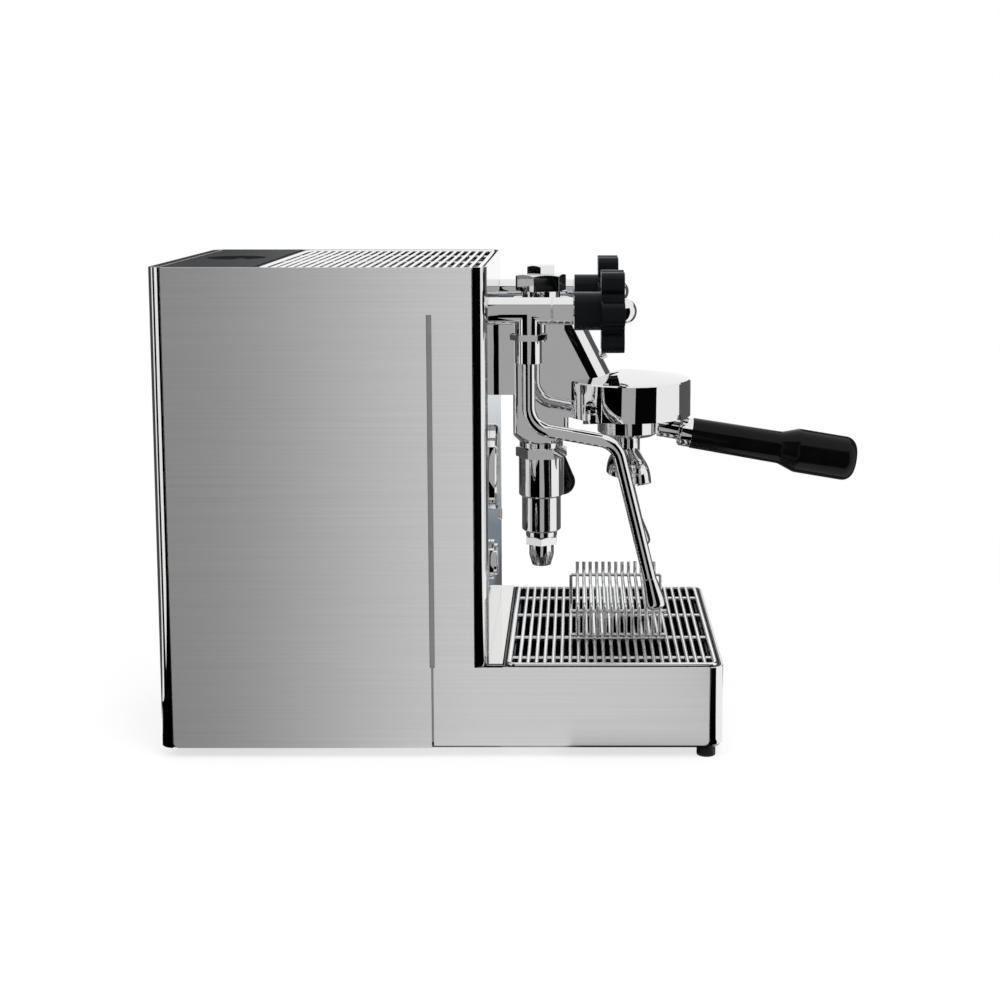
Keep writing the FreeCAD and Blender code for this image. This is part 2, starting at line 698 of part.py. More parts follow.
def tank_lid():
    """Lid with a plug inside the tank's mouth and a round finger well crossed by a sunken bar."""
    plate = block(
        (LID_START, LID_END), (-INNER_HALF + SLIDE_GAP, INNER_HALF - SLIDE_GAP), (LID_FLOOR, BODY_TOP)
    )
    plug_in = TANK_END_ROOM + TANK_WALL + SLIDE_GAP
    plug_ends = (LID_START + plug_in, LID_END - plug_in)
    plug_half = INNER_HALF - TANK_SIDE_ROOM - TANK_WALL - SLIDE_GAP
    plug = rounded_block(plug_ends, plug_half, (LID_FLOOR - LID_PLUG, LID_FLOOR), TANK_CORNER, plug_ends)
    well = disc_z(WELL_RADIUS, (BODY_TOP - WELL_DEPTH, BODY_TOP), LID_CENTRE, 0)
    bar = block(
        (LID_CENTRE - WELL_BAR_WIDTH / 2, LID_CENTRE + WELL_BAR_WIDTH / 2),
        (-WELL_RADIUS, WELL_RADIUS),
        (BODY_TOP - WELL_BAR_SINK - WELL_BAR_DEPTH, BODY_TOP - WELL_BAR_SINK),
    )
    return plate.fuse(plug).cut(well.cut(bar))


def cup_tray():
    """Shallow pan in the body's top that carries the cup rack."""
    ends = (LID_END + SLIDE_GAP, PANEL_BACK)
    floor = BODY_TOP - RACK_THICKNESS - SEAT_GAP
    outer = rounded_block(ends, INNER_HALF, (floor - PAN_WALL, BODY_TOP - PAN_WALL), CORNER_RADIUS, ends[1:])
    inner_ends = (ends[0] + PAN_WALL, ends[1] - PAN_WALL)
    hollow = rounded_block(
        inner_ends, INNER_HALF - PAN_WALL, (floor, BODY_TOP), CORNER_RADIUS - PAN_WALL, inner_ends[1:]
    )
    return outer.cut(hollow)


def cup_rack():
    """Wire rack that lies in the cup tray, level with the body's top."""
    inset = PAN_WALL + RACK_SIDE_ROOM + FRAME_ROD_RADIUS
    ends = (LID_END + SLIDE_GAP + inset, PANEL_BACK - inset)
    half = INNER_HALF - inset
    outer_rod = INNER_HALF - RACK_ROD_INSET
    return wire_rack(ends, half, BODY_TOP, (-outer_rod, 0, outer_rod))


def drip_tray():
    """Pan that slides out to the front, with a ledge inside its walls for the grille."""
    grille_floor = GRILLE_TOP - RACK_THICKNESS - SEAT_GAP
    outer = rounded_block(
        (TRAY_BACK, TRAY_FRONT_INNER), TRAY_HALF, (TRAY_FLOOR, BASE_TOP), CORNER_RADIUS, (TRAY_FRONT_INNER,)
    )
    deep = PAN_WALL + TRAY_LEDGE
    lower = block(
        (TRAY_BACK + deep, TRAY_FRONT_INNER - deep),
        (-TRAY_HALF + deep, TRAY_HALF - deep),
        (TRAY_FLOOR + PAN_WALL, BASE_TOP),
    )
    upper = rounded_block(
        (TRAY_BACK + PAN_WALL, TRAY_FRONT_INNER - PAN_WALL),
        TRAY_HALF - PAN_WALL,
        (grille_floor, BASE_TOP),
        CORNER_RADIUS - PAN_WALL,
        (TRAY_FRONT_INNER - PAN_WALL,),
    )
    return outer.cut(lower).cut(upper)


def tray_front():
    """Polished front of the drip tray with rounded corners."""
    return wrap_sheet(BASE_DEPTH, LOWER_FRONT, (TRAY_FLOOR, BASE_TOP))


def drip_grille():
    """Wire grille that lies on the drip tray's ledge."""
    inset = PAN_WALL + RACK_SIDE_ROOM + FRAME_ROD_RADIUS
    ends = (TRAY_BACK + inset, TRAY_FRONT_INNER - inset)
    outer_rod = TRAY_HALF - GRILLE_ROD_INSET
    under = [side * y for y in (GRILLE_ROD_SIDE, outer_rod) for side in SIDES]
    return wire_rack(ends, TRAY_HALF - inset, GRILLE_TOP, under)


def cup_stand():
    """Raised wire stand on the grille: bent wires, three cross bars and two far legs."""
    foot = GRILLE_TOP + STAND_WIRE_RADIUS
    top = foot + STAND_HEIGHT - 2 * STAND_WIRE_RADIUS
    last = BASE_DEPTH - STAND_FROM_FRONT
    places = [last - STAND_PITCH * index for index in range(STAND_WIRES)]
    pieces = []
    for x in places:
        path = [V(x, -STAND_NEAR, foot), V(x, -STAND_NEAR, top), V(x, STAND_FAR, top)]
        path.append(V(x, STAND_FAR, top + STAND_LIP))
        pieces.append(bent_rod(path, (STAND_BEND, STAND_BEND), STAND_WIRE_RADIUS))
    bar_ends = (places[-1] - STAND_PITCH, places[0] + STAND_PITCH)
    inside = 2 * STAND_WIRE_RADIUS - WELD_DEPTH
    round_bend = (STAND_BEND + inside) * math.sqrt(0.5)
    far_bar = STAND_FAR - STAND_BEND + round_bend
    under = top + STAND_BEND - round_bend
    bars = (
        (-STAND_NEAR + inside, foot),
        (-STAND_NEAR + inside, top - STAND_BEND - STAND_WIRE_RADIUS),
        (far_bar, under),
    )
    for y, z in bars:
        pieces.append(rod(V(bar_ends[0], y, z), V(bar_ends[1], y, z), STAND_WIRE_RADIUS))
    for x in bar_ends:
        leg_foot = V(x, far_bar, GRILLE_TOP)
        pieces.append(rod(leg_foot, V(x, far_bar, under), STAND_WIRE_RADIUS))
    return pieces[0].multiFuse(pieces[1:])


def nose_line():
    """Top and bottom points of the slanted front edge of the group, in the middle plane."""
    slope = math.tan(math.radians(NOSE_ANGLE))
    top = V(BODY_DEPTH + NOSE_TOP_REACH, 0, COLUMN_TOP)
    bottom = V(top.x + slope * (COLUMN_TOP - BELL_RIM_HEIGHT), 0, BELL_RIM_HEIGHT)
    return top, bottom


def nose_outward():
    """Direction that the slanted front edge faces."""
    angle = math.radians(NOSE_ANGLE)
    return V(math.cos(angle), 0, math.sin(angle))


def bell_solid():
    """Outside of the bell, with a low crown."""
    profile = [
        (0, BELL_RIM_HEIGHT),
        (BELL_RADIUS, BELL_RIM_HEIGHT),
        (BELL_RADIUS, BELL_SHOULDER - BELL_EDGE),
        (BELL_RADIUS - BELL_EDGE, BELL_SHOULDER),
        (0, BELL_SHOULDER + BELL_CROWN),
    ]
    return turned_z(profile, BELL_X, 0)


def bell_hollow():
    """Inside of the bell: bore, ear channel, two entry notches and their arches."""
    channel_low = BELL_RIM_HEIGHT + CHANNEL_FLOOR
    channel_high = BELL_RIM_HEIGHT + CHANNEL_TOP
    bore = disc_z(BELL_BORE, (BELL_RIM_HEIGHT, BORE_TOP), BELL_X, 0)
    channel = disc_z(CHANNEL_RADIUS, (channel_low, channel_high), BELL_X, 0)
    pieces = [channel]
    arch_middle = BELL_RIM_HEIGHT + ARCH_HEIGHT - ARCH_WIDTH / 2
    for angle in (NOTCH_ANGLE, NOTCH_ANGLE - 180):
        entry = (BELL_RIM_HEIGHT, channel_low)
        pieces.append(ring_sector(BELL_BORE - SEAM, CHANNEL_RADIUS, entry, angle, NOTCH_HALF_WIDTH))
        outward = V(math.cos(math.radians(angle)), math.sin(math.radians(angle)), 0)
        start = V(BELL_X, 0, arch_middle) + outward * BELL_BORE
        arch = rod(start, start + outward * BELL_RADIUS, ARCH_WIDTH / 2)
        slot = block(
            (BELL_X + BELL_BORE, BELL_X + BELL_RADIUS + BELL_BORE),
            (-ARCH_WIDTH / 2, ARCH_WIDTH / 2),
            (BELL_RIM_HEIGHT, arch_middle),
        )
        slot.rotate(V(BELL_X, 0, 0), Z_AXIS, angle)
        pieces.extend((arch, slot))
    return bore.multiFuse(pieces)


def group_body():
    """Group casting: mounting block, flat-sided column, slanted round nose and bell."""
    flange = block(
        (BODY_DEPTH, COLUMN_REAR + COLUMN_EDGE),
        (FLANGE_STEP - GROUP_HALF, GROUP_HALF - FLANGE_STEP),
        (FLANGE_Z - FLANGE_HEIGHT / 2, FLANGE_Z + FLANGE_HEIGHT / 2),
    )
    spigot = disc_x(SPIGOT_RADIUS, (PANEL_BACK - SPIGOT_LENGTH, BODY_DEPTH), 0, FLANGE_Z)
    column = rounded_block(
        (COLUMN_REAR, COLUMN_FRONT),
        GROUP_HALF,
        (COLUMN_BOTTOM, COLUMN_TOP),
        COLUMN_EDGE,
        (COLUMN_REAR, COLUMN_FRONT),
    )
    clear = COLUMN_WIDTH + COLUMN_TAPER
    taper = [
        (0, COLUMN_BOTTOM),
        (COLUMN_WIDTH / 2 - COLUMN_TAPER / 2, COLUMN_BOTTOM),
        (COLUMN_WIDTH / 2 + COLUMN_TAPER / 2, COLUMN_BOTTOM + COLUMN_TAPER),
        (clear, COLUMN_BOTTOM + COLUMN_TAPER),
        (clear, COLUMN_TOP),
        (0, COLUMN_TOP),
    ]
    column = column.common(turned_z(taper, COLUMN_X, 0))
    top, bottom = nose_line()
    back = nose_outward() * -GROUP_HALF
    overrun = (bottom - top).normalize() * GROUP_THICKNESS
    nose = rod(top + back - overrun, bottom + back + overrun, GROUP_HALF)
    web_points = [
        V(COLUMN_X, -GROUP_HALF, BELL_RIM_HEIGHT),
        V((bottom + back).x, -GROUP_HALF, (bottom + back).z),
        V((top + back).x, -GROUP_HALF, (top + back).z),
        V(COLUMN_X, -GROUP_HALF, COLUMN_TOP),
    ]
    web = Part.Face(Part.makePolygon(web_points + web_points[:1])).extrude(V(0, GROUP_THICKNESS, 0))
    slab = block((COLUMN_X, BELL_X), (-GROUP_HALF, GROUP_HALF), (BELL_RIM_HEIGHT, COLUMN_TOP))
    neck = nose.fuse(web).common(slab)
    casting = flange.multiFuse([spigot, column, neck, bell_solid()])
    casting = casting.cut(bell_hollow())
    shaft_hole = rod(
        V(COLUMN_X, GROUP_HALF - SHAFT_DEPTH, LEVER_Z),
        V(COLUMN_X, GROUP_HALF, LEVER_Z),
        SHAFT_RADIUS + SHAFT_FIT,
    )
    return casting.cut(shaft_hole).cut(bleed_seat())


def bleed_point():
    """Place on the slanted edge where the bleed screw sits."""
    top, bottom = nose_line()
    height = BELL_RIM_HEIGHT + BLEED_RISE
    share = (COLUMN_TOP - height) / (COLUMN_TOP - BELL_RIM_HEIGHT)
    return top + (bottom - top) * share


def bleed_seat():
    """Flat-bottomed hole for the bleed screw."""
    outward = nose_outward()
    start = bleed_point() - outward * BLEED_SEAT
    return rod(start, start + outward * BLEED_LENGTH, BLEED_RADIUS + SHAFT_FIT)


def bleed_screw():
    """Small plug screw on the slanted front of the group."""
    outward = nose_outward()
    start = bleed_point() - outward * BLEED_SEAT
    return rod(start, start + outward * BLEED_LENGTH, BLEED_RADIUS)


def chamfered_nut(flats, z_range, x, y):
    """Upright hexagon nut whose top corners are turned off."""
    height = z_range[1] - z_range[0]
    prism = hexagon(flats, V(x, y, z_range[0]), height, Z_AXIS, Y_AXIS)
    corner = flats / 2 / math.cos(math.pi / 6)
    turned_off = [
        (0, z_range[0]),
        (corner + SEAM, z_range[0]),
        (corner + SEAM, z_range[1] - NUT_CHAMFER),
        (flats / 2 - SEAM, z_range[1]),
        (0, z_range[1]),
    ]
    return prism.common(turned_z(turned_off, x, y))


def group_top_nut():
    """Large nut on the column's top, with its round neck."""
    neck_top = COLUMN_TOP + TOP_NECK_HEIGHT
    neck = disc_z(TOP_NECK_RADIUS, (COLUMN_TOP, neck_top), COLUMN_X, 0)
    return neck.fuse(chamfered_nut(TOP_NUT_FLATS, (neck_top, neck_top + TOP_NUT_HEIGHT), COLUMN_X, 0))


def group_cap():
    """Small cap nut on the large nut."""
    start = COLUMN_TOP + TOP_NECK_HEIGHT + TOP_NUT_HEIGHT
    return chamfered_nut(CAP_NUT_FLATS, (start, start + CAP_NUT_HEIGHT), COLUMN_X, 0)


def infusion_chamber():
    """Turned chamber under the column, with a hexagon collar and two diameters."""
    profile = [
        (0, COLUMN_BOTTOM),
        (CHAMBER_NECK_RADIUS, COLUMN_BOTTOM),
        (CHAMBER_NECK_RADIUS, COLLAR_BOTTOM),
        (UPPER_CHAMBER_RADIUS, COLLAR_BOTTOM),
        (UPPER_CHAMBER_RADIUS, UPPER_CHAMBER_BOTTOM + CHAMBER_CHAMFER),
        (UPPER_CHAMBER_RADIUS - CHAMBER_CHAMFER, UPPER_CHAMBER_BOTTOM),
        (LOWER_CHAMBER_RADIUS, UPPER_CHAMBER_BOTTOM),
        (LOWER_CHAMBER_RADIUS, LOWER_CHAMBER_BOTTOM + CHAMBER_CHAMFER),
        (LOWER_CHAMBER_RADIUS - CHAMBER_CHAMFER, LOWER_CHAMBER_BOTTOM),
        (CHAMBER_TAIL_RADIUS, LOWER_CHAMBER_BOTTOM),
        (CHAMBER_TAIL_RADIUS, CHAMBER_BOTTOM),
        (0, CHAMBER_BOTTOM),
    ]
    collar = chamfered_nut(COLLAR_FLATS, (COLLAR_BOTTOM, COLLAR_TOP), COLUMN_X, 0)
    return turned_z(profile, COLUMN_X, 0).fuse(collar)


def drain_nozzle():
    """Hexagon and tapered outlet at the bottom of the chamber."""
    straight_end = DRAIN_NUT_BOTTOM - NOZZLE_LENGTH
    profile = [
        (NOZZLE_BORE, DRAIN_NUT_BOTTOM),
        (NOZZLE_RADIUS, DRAIN_NUT_BOTTOM),
        (NOZZLE_RADIUS, straight_end),
        (NOZZLE_END_RADIUS, straight_end - NOZZLE_TAPER),
        (NOZZLE_BORE, straight_end - NOZZLE_TAPER),
    ]
    nut = chamfered_nut(DRAIN_FLATS, (DRAIN_NUT_BOTTOM, CHAMBER_BOTTOM), COLUMN_X, 0)
    return nut.fuse(turned_z(profile, COLUMN_X, 0))


def group_gasket():
    """Rubber ring at the top of the bell's bore."""
    ring = disc_z(BELL_BORE - HOLE_GAP, (GASKET_BOTTOM, BORE_TOP), BELL_X, 0)
    return ring.cut(disc_z(GASKET_INNER, (GASKET_BOTTOM, BORE_TOP), BELL_X, 0))


def shower_screen():
    """Round screen inside the gasket, with its screw's head."""
    bottom = BORE_TOP - SCREEN_THICKNESS
    screw = disc_z(SCREEN_SCREW_RADIUS, (bottom - SCREEN_SCREW_HEIGHT, bottom), BELL_X, 0)
    return disc_z(SCREEN_RADIUS, (bottom, BORE_TOP), BELL_X, 0).fuse(screw)


def cam_gland_nut():
    """Hexagon gland around the lever's shaft."""
    flats = 2 * (SHAFT_RADIUS + SHAFT_FIT + GLAND_WALL)
    nut = hexagon(flats, V(COLUMN_X, GROUP_HALF, LEVER_Z), GLAND_LENGTH, Y_AXIS, Z_AXIS)
    bore = rod(
        V(COLUMN_X, GROUP_HALF, LEVER_Z),
        V(COLUMN_X, GROUP_HALF + GLAND_LENGTH, LEVER_Z),
        SHAFT_RADIUS + SHAFT_FIT,
    )
    return nut.cut(bore)


def lever_heading():
    """Direction from the lever's hub to the end of its grip."""
    angle = math.radians(LEVER_ANGLE)
    return V(math.sin(angle), 0, -math.cos(angle))


def brew_lever():
    """Shaft, hub and arm of the brew lever."""
    hub_end = LEVER_SIDE + HUB_LENGTH / 2
    inner = V(COLUMN_X, GROUP_HALF - SHAFT_DEPTH + SEAT_GAP, LEVER_Z)
    shaft = rod(inner, V(COLUMN_X, hub_end, LEVER_Z), SHAFT_RADIUS)
    hub = rod(
        V(COLUMN_X, LEVER_SIDE - HUB_LENGTH / 2, LEVER_Z), V(COLUMN_X, hub_end, LEVER_Z), HUB_RADIUS
    )
    pivot = V(COLUMN_X, LEVER_SIDE, LEVER_Z)
    arm = rod(pivot, pivot + lever_heading() * (GRIP_START + GRIP_SOCKET), ARM_RADIUS)
    return shaft.multiFuse([hub, arm])


def lever_grip():
    """Drop-shaped grip on the lever's arm."""
    pivot = V(COLUMN_X, LEVER_SIDE, LEVER_Z)
    heading = lever_heading()
    bulb = GRIP_END - GRIP_RADIUS
    cone = Part.makeCone(
        GRIP_NECK_RADIUS, GRIP_RADIUS, bulb - GRIP_START, pivot + heading * GRIP_START, heading
    )
    ball = Part.makeSphere(GRIP_RADIUS, pivot + heading * bulb)
    socket_end = GRIP_START + GRIP_SOCKET + SEAT_GAP
    socket = rod(pivot + heading * GRIP_START, pivot + heading * socket_end, ARM_RADIUS + SHAFT_FIT)
    return cone.fuse(ball).cut(socket)


def handle_heading():
    """Direction of the portafilter's handle, out to the front and slightly down."""
    return V(math.cos(HANDLE_ANGLE), 0, -math.sin(HANDLE_ANGLE))


def portafilter():
    """Turned bowl with a wide rim, two ears, a rear lug and the handle's neck."""
    inner_bowl = BOWL_RADIUS - BOWL_WALL
    profile = [
        (OUTLET_RADIUS, BOSS_BOTTOM),
        (BOSS_RADIUS, BOSS_BOTTOM),
        (BOSS_RADIUS, BOWL_BOTTOM),
        (BOWL_RADIUS - BOWL_CORNER, BOWL_BOTTOM + BOWL_WALL),
        (BOWL_RADIUS, BOWL_BOTTOM + BOWL_CORNER_RISE),
        (BOWL_RADIUS, RIM_BOTTOM - BOWL_WALL),
        (RIM_RADIUS, RIM_BOTTOM),
        (RIM_RADIUS, RIM_TOP),
        (RIM_RADIUS - RIM_WALL, RIM_TOP),
        (RIM_RADIUS - RIM_WALL, RIM_BOTTOM + BOWL_WALL),
        (inner_bowl, RIM_BOTTOM),
        (inner_bowl, BOWL_BOTTOM + BOWL_CORNER_RISE),
        (OUTLET_RADIUS, BOWL_BOTTOM + BOWL_WALL),
    ]
    bowl = turned_z(profile, BELL_X, 0)
    ear_low = BELL_RIM_HEIGHT + CHANNEL_FLOOR + SLIDE_GAP
    pieces = []
    for angle in (NOTCH_ANGLE, NOTCH_ANGLE - 180):
        seat = angle + EAR_TRAVEL
        ear_range = (ear_low, ear_low + EAR_HEIGHT)
        pieces.append(ring_sector(RIM_RADIUS - SEAM, EAR_RADIUS, ear_range, seat, EAR_HALF_ANGLE))
    lug_top = BELL_RIM_HEIGHT - SLIDE_GAP
    lug_range = (lug_top - REAR_LUG_HEIGHT, lug_top)
    pieces.append(ring_sector(BOWL_RADIUS - SEAM, REAR_LUG_RADIUS, lug_range, 180, REAR_LUG_HALF_ANGLE))
    heading = handle_heading()
    root = V(BELL_X, 0, HANDLE_Z)
    neck = rod(root + heading * (BOWL_RADIUS - BOWL_WALL / 2), root + heading * FERRULE_START, NECK_RADIUS)
    pieces.append(neck.cut(disc_z(inner_bowl, (BOSS_BOTTOM, RIM_TOP), BELL_X, 0)))
    return bowl.multiFuse(pieces)


def portafilter_ferrule():
    """Metal ring between the neck and the handle."""
    profile = [
        (0, FERRULE_START),
        (FERRULE_RADIUS - FERRULE_CHAMFER, FERRULE_START),
        (FERRULE_RADIUS, FERRULE_START + FERRULE_CHAMFER),
        (FERRULE_RADIUS, FERRULE_START + FERRULE_LENGTH),
        (0, FERRULE_START + FERRULE_LENGTH),
    ]
    return turned(profile, V(BELL_X, 0, HANDLE_Z), handle_heading(), Y_AXIS)


def portafilter_handle():
    """Slim handle that swells to a thicker grip with a rounded end."""
    begin = FERRULE_START + FERRULE_LENGTH
    waist = begin + HANDLE_WAIST_LENGTH
    grip = waist + HANDLE_FLARE_LENGTH
    end = grip + HANDLE_GRIP_LENGTH
    profile = [
        (0, begin),
        (HANDLE_ROOT_RADIUS, begin),
        (HANDLE_WAIST_RADIUS, waist),
        (HANDLE_GRIP_RADIUS, grip),
        (HANDLE_GRIP_RADIUS, end),
        (0, end),
    ]
    start = V(BELL_X, 0, HANDLE_Z)
    heading = handle_heading()
    handle = turned(profile, start, heading, Y_AXIS)
    handle = handle.makeFillet(HANDLE_END_ROUND, edge_circles(handle, start, heading, end))
    flare = edge_circles(handle, start, heading, waist) + edge_circles(handle, start, heading, grip)
    return handle.makeFillet(HANDLE_FLARE_ROUND, flare)


def double_spout():
    """Two bent spouts on a short stem, spread across the handle, turned a little and cut off at a slant."""
    stem_bottom = BOSS_BOTTOM - SPOUT_STEM - SPOUT_RADIUS
    tip = stem_bottom - SPOUT_DROP
    fork = V(BELL_X, 0, stem_bottom)
    turn = math.radians(SPOUT_TURN)
    tilt = math.radians(SPOUT_SLANT)
    solids = [disc_z(BOSS_RADIUS, (stem_bottom, BOSS_BOTTOM), BELL_X, 0), Part.makeSphere(SPOUT_RADIUS, fork)]
    bores = [disc_z(OUTLET_RADIUS, (stem_bottom, BOSS_BOTTOM), BELL_X, 0)]
    for side in SIDES:
        outward = V(-side * math.sin(turn), side * math.cos(turn), 0)
        elbow = fork + outward * SPOUT_SPREAD - Z_AXIS * (SPOUT_SPREAD * math.tan(tilt))
        path = [fork, elbow, V(elbow.x, elbow.y, tip)]
        solids.append(bent_rod(path, (SPOUT_BEND,), SPOUT_RADIUS))
        bores.append(bent_rod(path, (SPOUT_BEND,), SPOUT_BORE))
    body = solids[0].multiFuse(solids[1:])
    clear = SPOUT_SPREAD + 2 * SPOUT_RADIUS
    rise = clear * math.tan(math.radians(SPOUT_CUT))
    below = [(0, tip), (clear, tip + rise), (clear, tip - rise), (0, tip - rise)]
    return body.cut(bores[0].multiFuse(bores[1:])).cut(turned_z(below, BELL_X, 0))


def filter_basket():
    """Stepped basket that hangs by its flange on the portafilter's rim."""
    upper = RIM_RADIUS - RIM_WALL - BASKET_GAP
    lower = BOWL_RADIUS - BOWL_WALL - BASKET_GAP
    step = RIM_BOTTOM + BOWL_WALL + BASKET_GAP
    flange = RIM_RADIUS - BASKET_FLANGE_INSET
    floor = BASKET_FLOOR
    wall = BASKET_WALL
    profile = [
        (0, floor),
        (lower, floor),
        (lower, step),
        (upper, step),
        (upper, RIM_TOP),
        (flange, RIM_TOP),
        (flange, BASKET_TOP),
        (upper - wall, BASKET_TOP),
        (upper - wall, step + wall),
        (lower - wall, step + wall),
        (lower - wall, floor + wall),
        (0, floor + wall),
    ]
    return turned_z(profile, BELL_X, 0)


def valve(side):
    """Valve body with a grooved barrel, a threaded tail through the panel and a tee for the wand."""
    y = side * VALVE_SIDE
    barrel = disc_x(VALVE_RADIUS, (BODY_DEPTH, VALVE_END), y, VALVE_Z)
    groove_start = VALVE_END - VALVE_GROOVE_FROM_END
    groove_ends = (groove_start, groove_start + VALVE_GROOVE_WIDTH)
    groove = disc_x(VALVE_RADIUS + SEAM, groove_ends, y, VALVE_Z)
    barrel = barrel.cut(groove.cut(disc_x(VALVE_RADIUS - VALVE_GROOVE_DEPTH, groove_ends, y, VALVE_Z)))
    tail = disc_x(VALVE_TAIL_RADIUS, (PANEL_BACK - VALVE_TAIL, BODY_DEPTH), y, VALVE_Z)
    tee = disc_z(TEE_RADIUS, (TEE_BOTTOM, VALVE_Z), TEE_X, y)
    spindle_hole = disc_x(SPINDLE_RADIUS + SHAFT_FIT, (VALVE_END - SPINDLE_IN_VALVE, VALVE_END), y, VALVE_Z)
    wand_top = TEE_BOTTOM + WAND_IN_TEE + SEAT_GAP
    wand_hole = disc_z(WAND_RADIUS + SHAFT_FIT, (TEE_BOTTOM, wand_top), TEE_X, y)
    return barrel.multiFuse([tail, tee]).cut(spindle_hole.fuse(wand_hole))


def valve_locknuts():
    """Nuts that hold both valves behind the front panel."""
    nuts = []
    bore_radius = VALVE_TAIL_RADIUS + SHAFT_FIT
    for side in SIDES:
        start = V(PANEL_BACK - LOCKNUT_HEIGHT, side * VALVE_SIDE, VALVE_Z)
        nut = hexagon(2 * (bore_radius + LOCKNUT_WALL), start, LOCKNUT_HEIGHT, X_AXIS, Z_AXIS)
        bore = disc_x(bore_radius, (start.x, PANEL_BACK), start.y, start.z)
        nuts.append(nut.cut(bore))
    return Part.makeCompound(nuts)


def swivel_nuts():
    """Hexagon collars around both valve tees."""
    nuts = []
    bore_radius = TEE_RADIUS + SHAFT_FIT
    top = VALVE_Z - SWIVEL_NUT_DROP
    for side in SIDES:
        y = side * VALVE_SIDE
        start = V(TEE_X, y, top - SWIVEL_NUT_HEIGHT)
        nut = hexagon(2 * (bore_radius + SWIVEL_NUT_WALL), start, SWIVEL_NUT_HEIGHT, Z_AXIS, Y_AXIS)
        nuts.append(nut.cut(disc_z(bore_radius, (start.z, top), TEE_X, y)))
    return Part.makeCompound(nuts)


def spindle(side):
    """Valve spindle, from inside the valve into the knob."""
    ends = (VALVE_END - SPINDLE_IN_VALVE + SEAT_GAP, KNOB_START + SPINDLE_IN_KNOB)
    return disc_x(SPINDLE_RADIUS, ends, side * VALVE_SIDE, VALVE_Z)


def knob(side):
    """Knob with a round hub and a six-lobed grip, one lobe of which points to the side."""
    y = side * VALVE_SIDE
    hub = disc_x(KNOB_HUB_RADIUS, (KNOB_START, STAR_START), y, VALVE_Z)
    pieces = [disc_x(KNOB_CORE_RADIUS, (STAR_START, KNOB_END), y, VALVE_Z)]
    for index in range(KNOB_LOBES):
        angle = 2 * math.pi * index / KNOB_LOBES
        lobe_y = y + KNOB_LOBE_CENTRE * math.cos(angle)
        lobe_z = VALVE_Z + KNOB_LOBE_CENTRE * math.sin(angle)
        pieces.append(disc_x(KNOB_LOBE_RADIUS, (STAR_START, KNOB_END), lobe_y, lobe_z))
    hole_ends = (KNOB_START, KNOB_START + SPINDLE_IN_KNOB + SEAT_GAP)
    hole = disc_x(SPINDLE_RADIUS + SHAFT_FIT, hole_ends, y, VALVE_Z)
    return hub.multiFuse(pieces).cut(hole)


def knob_cap(side):
    """Domed metal cap on the knob's face."""
    dome_radius = (CAP_RADIUS ** 2 + CAP_HEIGHT ** 2) / (2 * CAP_HEIGHT)
    centre = V(KNOB_END + CAP_HEIGHT - dome_radius, side * VALVE_SIDE, VALVE_Z)
    front = disc_x(CAP_RADIUS, (KNOB_END, KNOB_END + CAP_HEIGHT), centre.y, centre.z)
    return Part.makeSphere(dome_radius, centre).common(front)


def wand_points(side):
    """Bend points of a wand that points straight to the front."""
    y = side * VALVE_SIDE
    lean = math.radians(WAND_LEAN)
    elbow = V(TEE_X, y, TEE_BOTTOM - WAND_DROP)
    knee = elbow + V(WAND_REACH, 0, -WAND_RUN_FALL)
    end = knee + V(math.sin(lean), 0, -math.cos(lean)) * WAND_LEG
    return [V(TEE_X, y, TEE_BOTTOM + WAND_IN_TEE), elbow, knee, end]


def turned_wand(shape, side):
    """Right-hand pieces are swung outward about the tee, left-hand ones point ahead."""
    if side == RIGHT:
        shape.rotate(V(TEE_X, side * VALVE_SIDE, 0), Z_AXIS, WATER_WAND_TURN)
    return shape


def wand(side):
    """Bent tube that swivels in the valve's tee."""
    points = wand_points(side)
    bends = (WAND_TOP_BEND, WAND_FRONT_BEND)
    outer = bent_rod(points, bends, WAND_RADIUS)
    return turned_wand(outer.cut(bent_rod(points, bends, WAND_BORE)), side)


def wand_tip(side):
    """Swollen nozzle at the wand's end."""
    points = wand_points(side)
    heading = (points[3] - points[2]).normalize()
    profile = [
        (0, 0),
        (WAND_RADIUS, 0),
        (TIP_RADIUS, TIP_LENGTH - TIP_END),
        (TIP_RADIUS, TIP_LENGTH),
        (0, TIP_LENGTH),
    ]
    tip = turned(profile, points[3], heading, Y_AXIS)
    return turned_wand(tip.makeFillet(TIP_ROUND, edge_circles(tip, points[3], heading, TIP_LENGTH)), side)


def gauge_case():
    """Gauge's bezel and body."""
    profile = [
        (0, PANEL_BACK - GAUGE_BODY_LENGTH),
        (GAUGE_BODY_RADIUS, PANEL_BACK - GAUGE_BODY_LENGTH),
        (GAUGE_BODY_RADIUS, BODY_DEPTH),
        (GAUGE_BEZEL_RADIUS, BODY_DEPTH),
        (GAUGE_BEZEL_RADIUS, GAUGE_FRONT - BEZEL_ROUND),
        (GAUGE_BEZEL_RADIUS - BEZEL_ROUND, GAUGE_FRONT),
        (GAUGE_FACE_RADIUS, GAUGE_FRONT),
        (GAUGE_FACE_RADIUS, DIAL_BACK),
        (0, DIAL_BACK),
    ]
    return turned(profile, V(0, GAUGE_Y, GAUGE_HEIGHT), X_AXIS, Y_AXIS)


def gauge_dial():
    """Gauge's dial plate, with a hole for the needle's pin."""
    ends = (DIAL_BACK, DIAL_BACK + DIAL_THICKNESS)
    plate = disc_x(GAUGE_FACE_RADIUS - HOLE_GAP, ends, GAUGE_Y, GAUGE_HEIGHT)
    return plate.cut(disc_x(NEEDLE_PIN_RADIUS + SHAFT_FIT, ends, GAUGE_Y, GAUGE_HEIGHT))


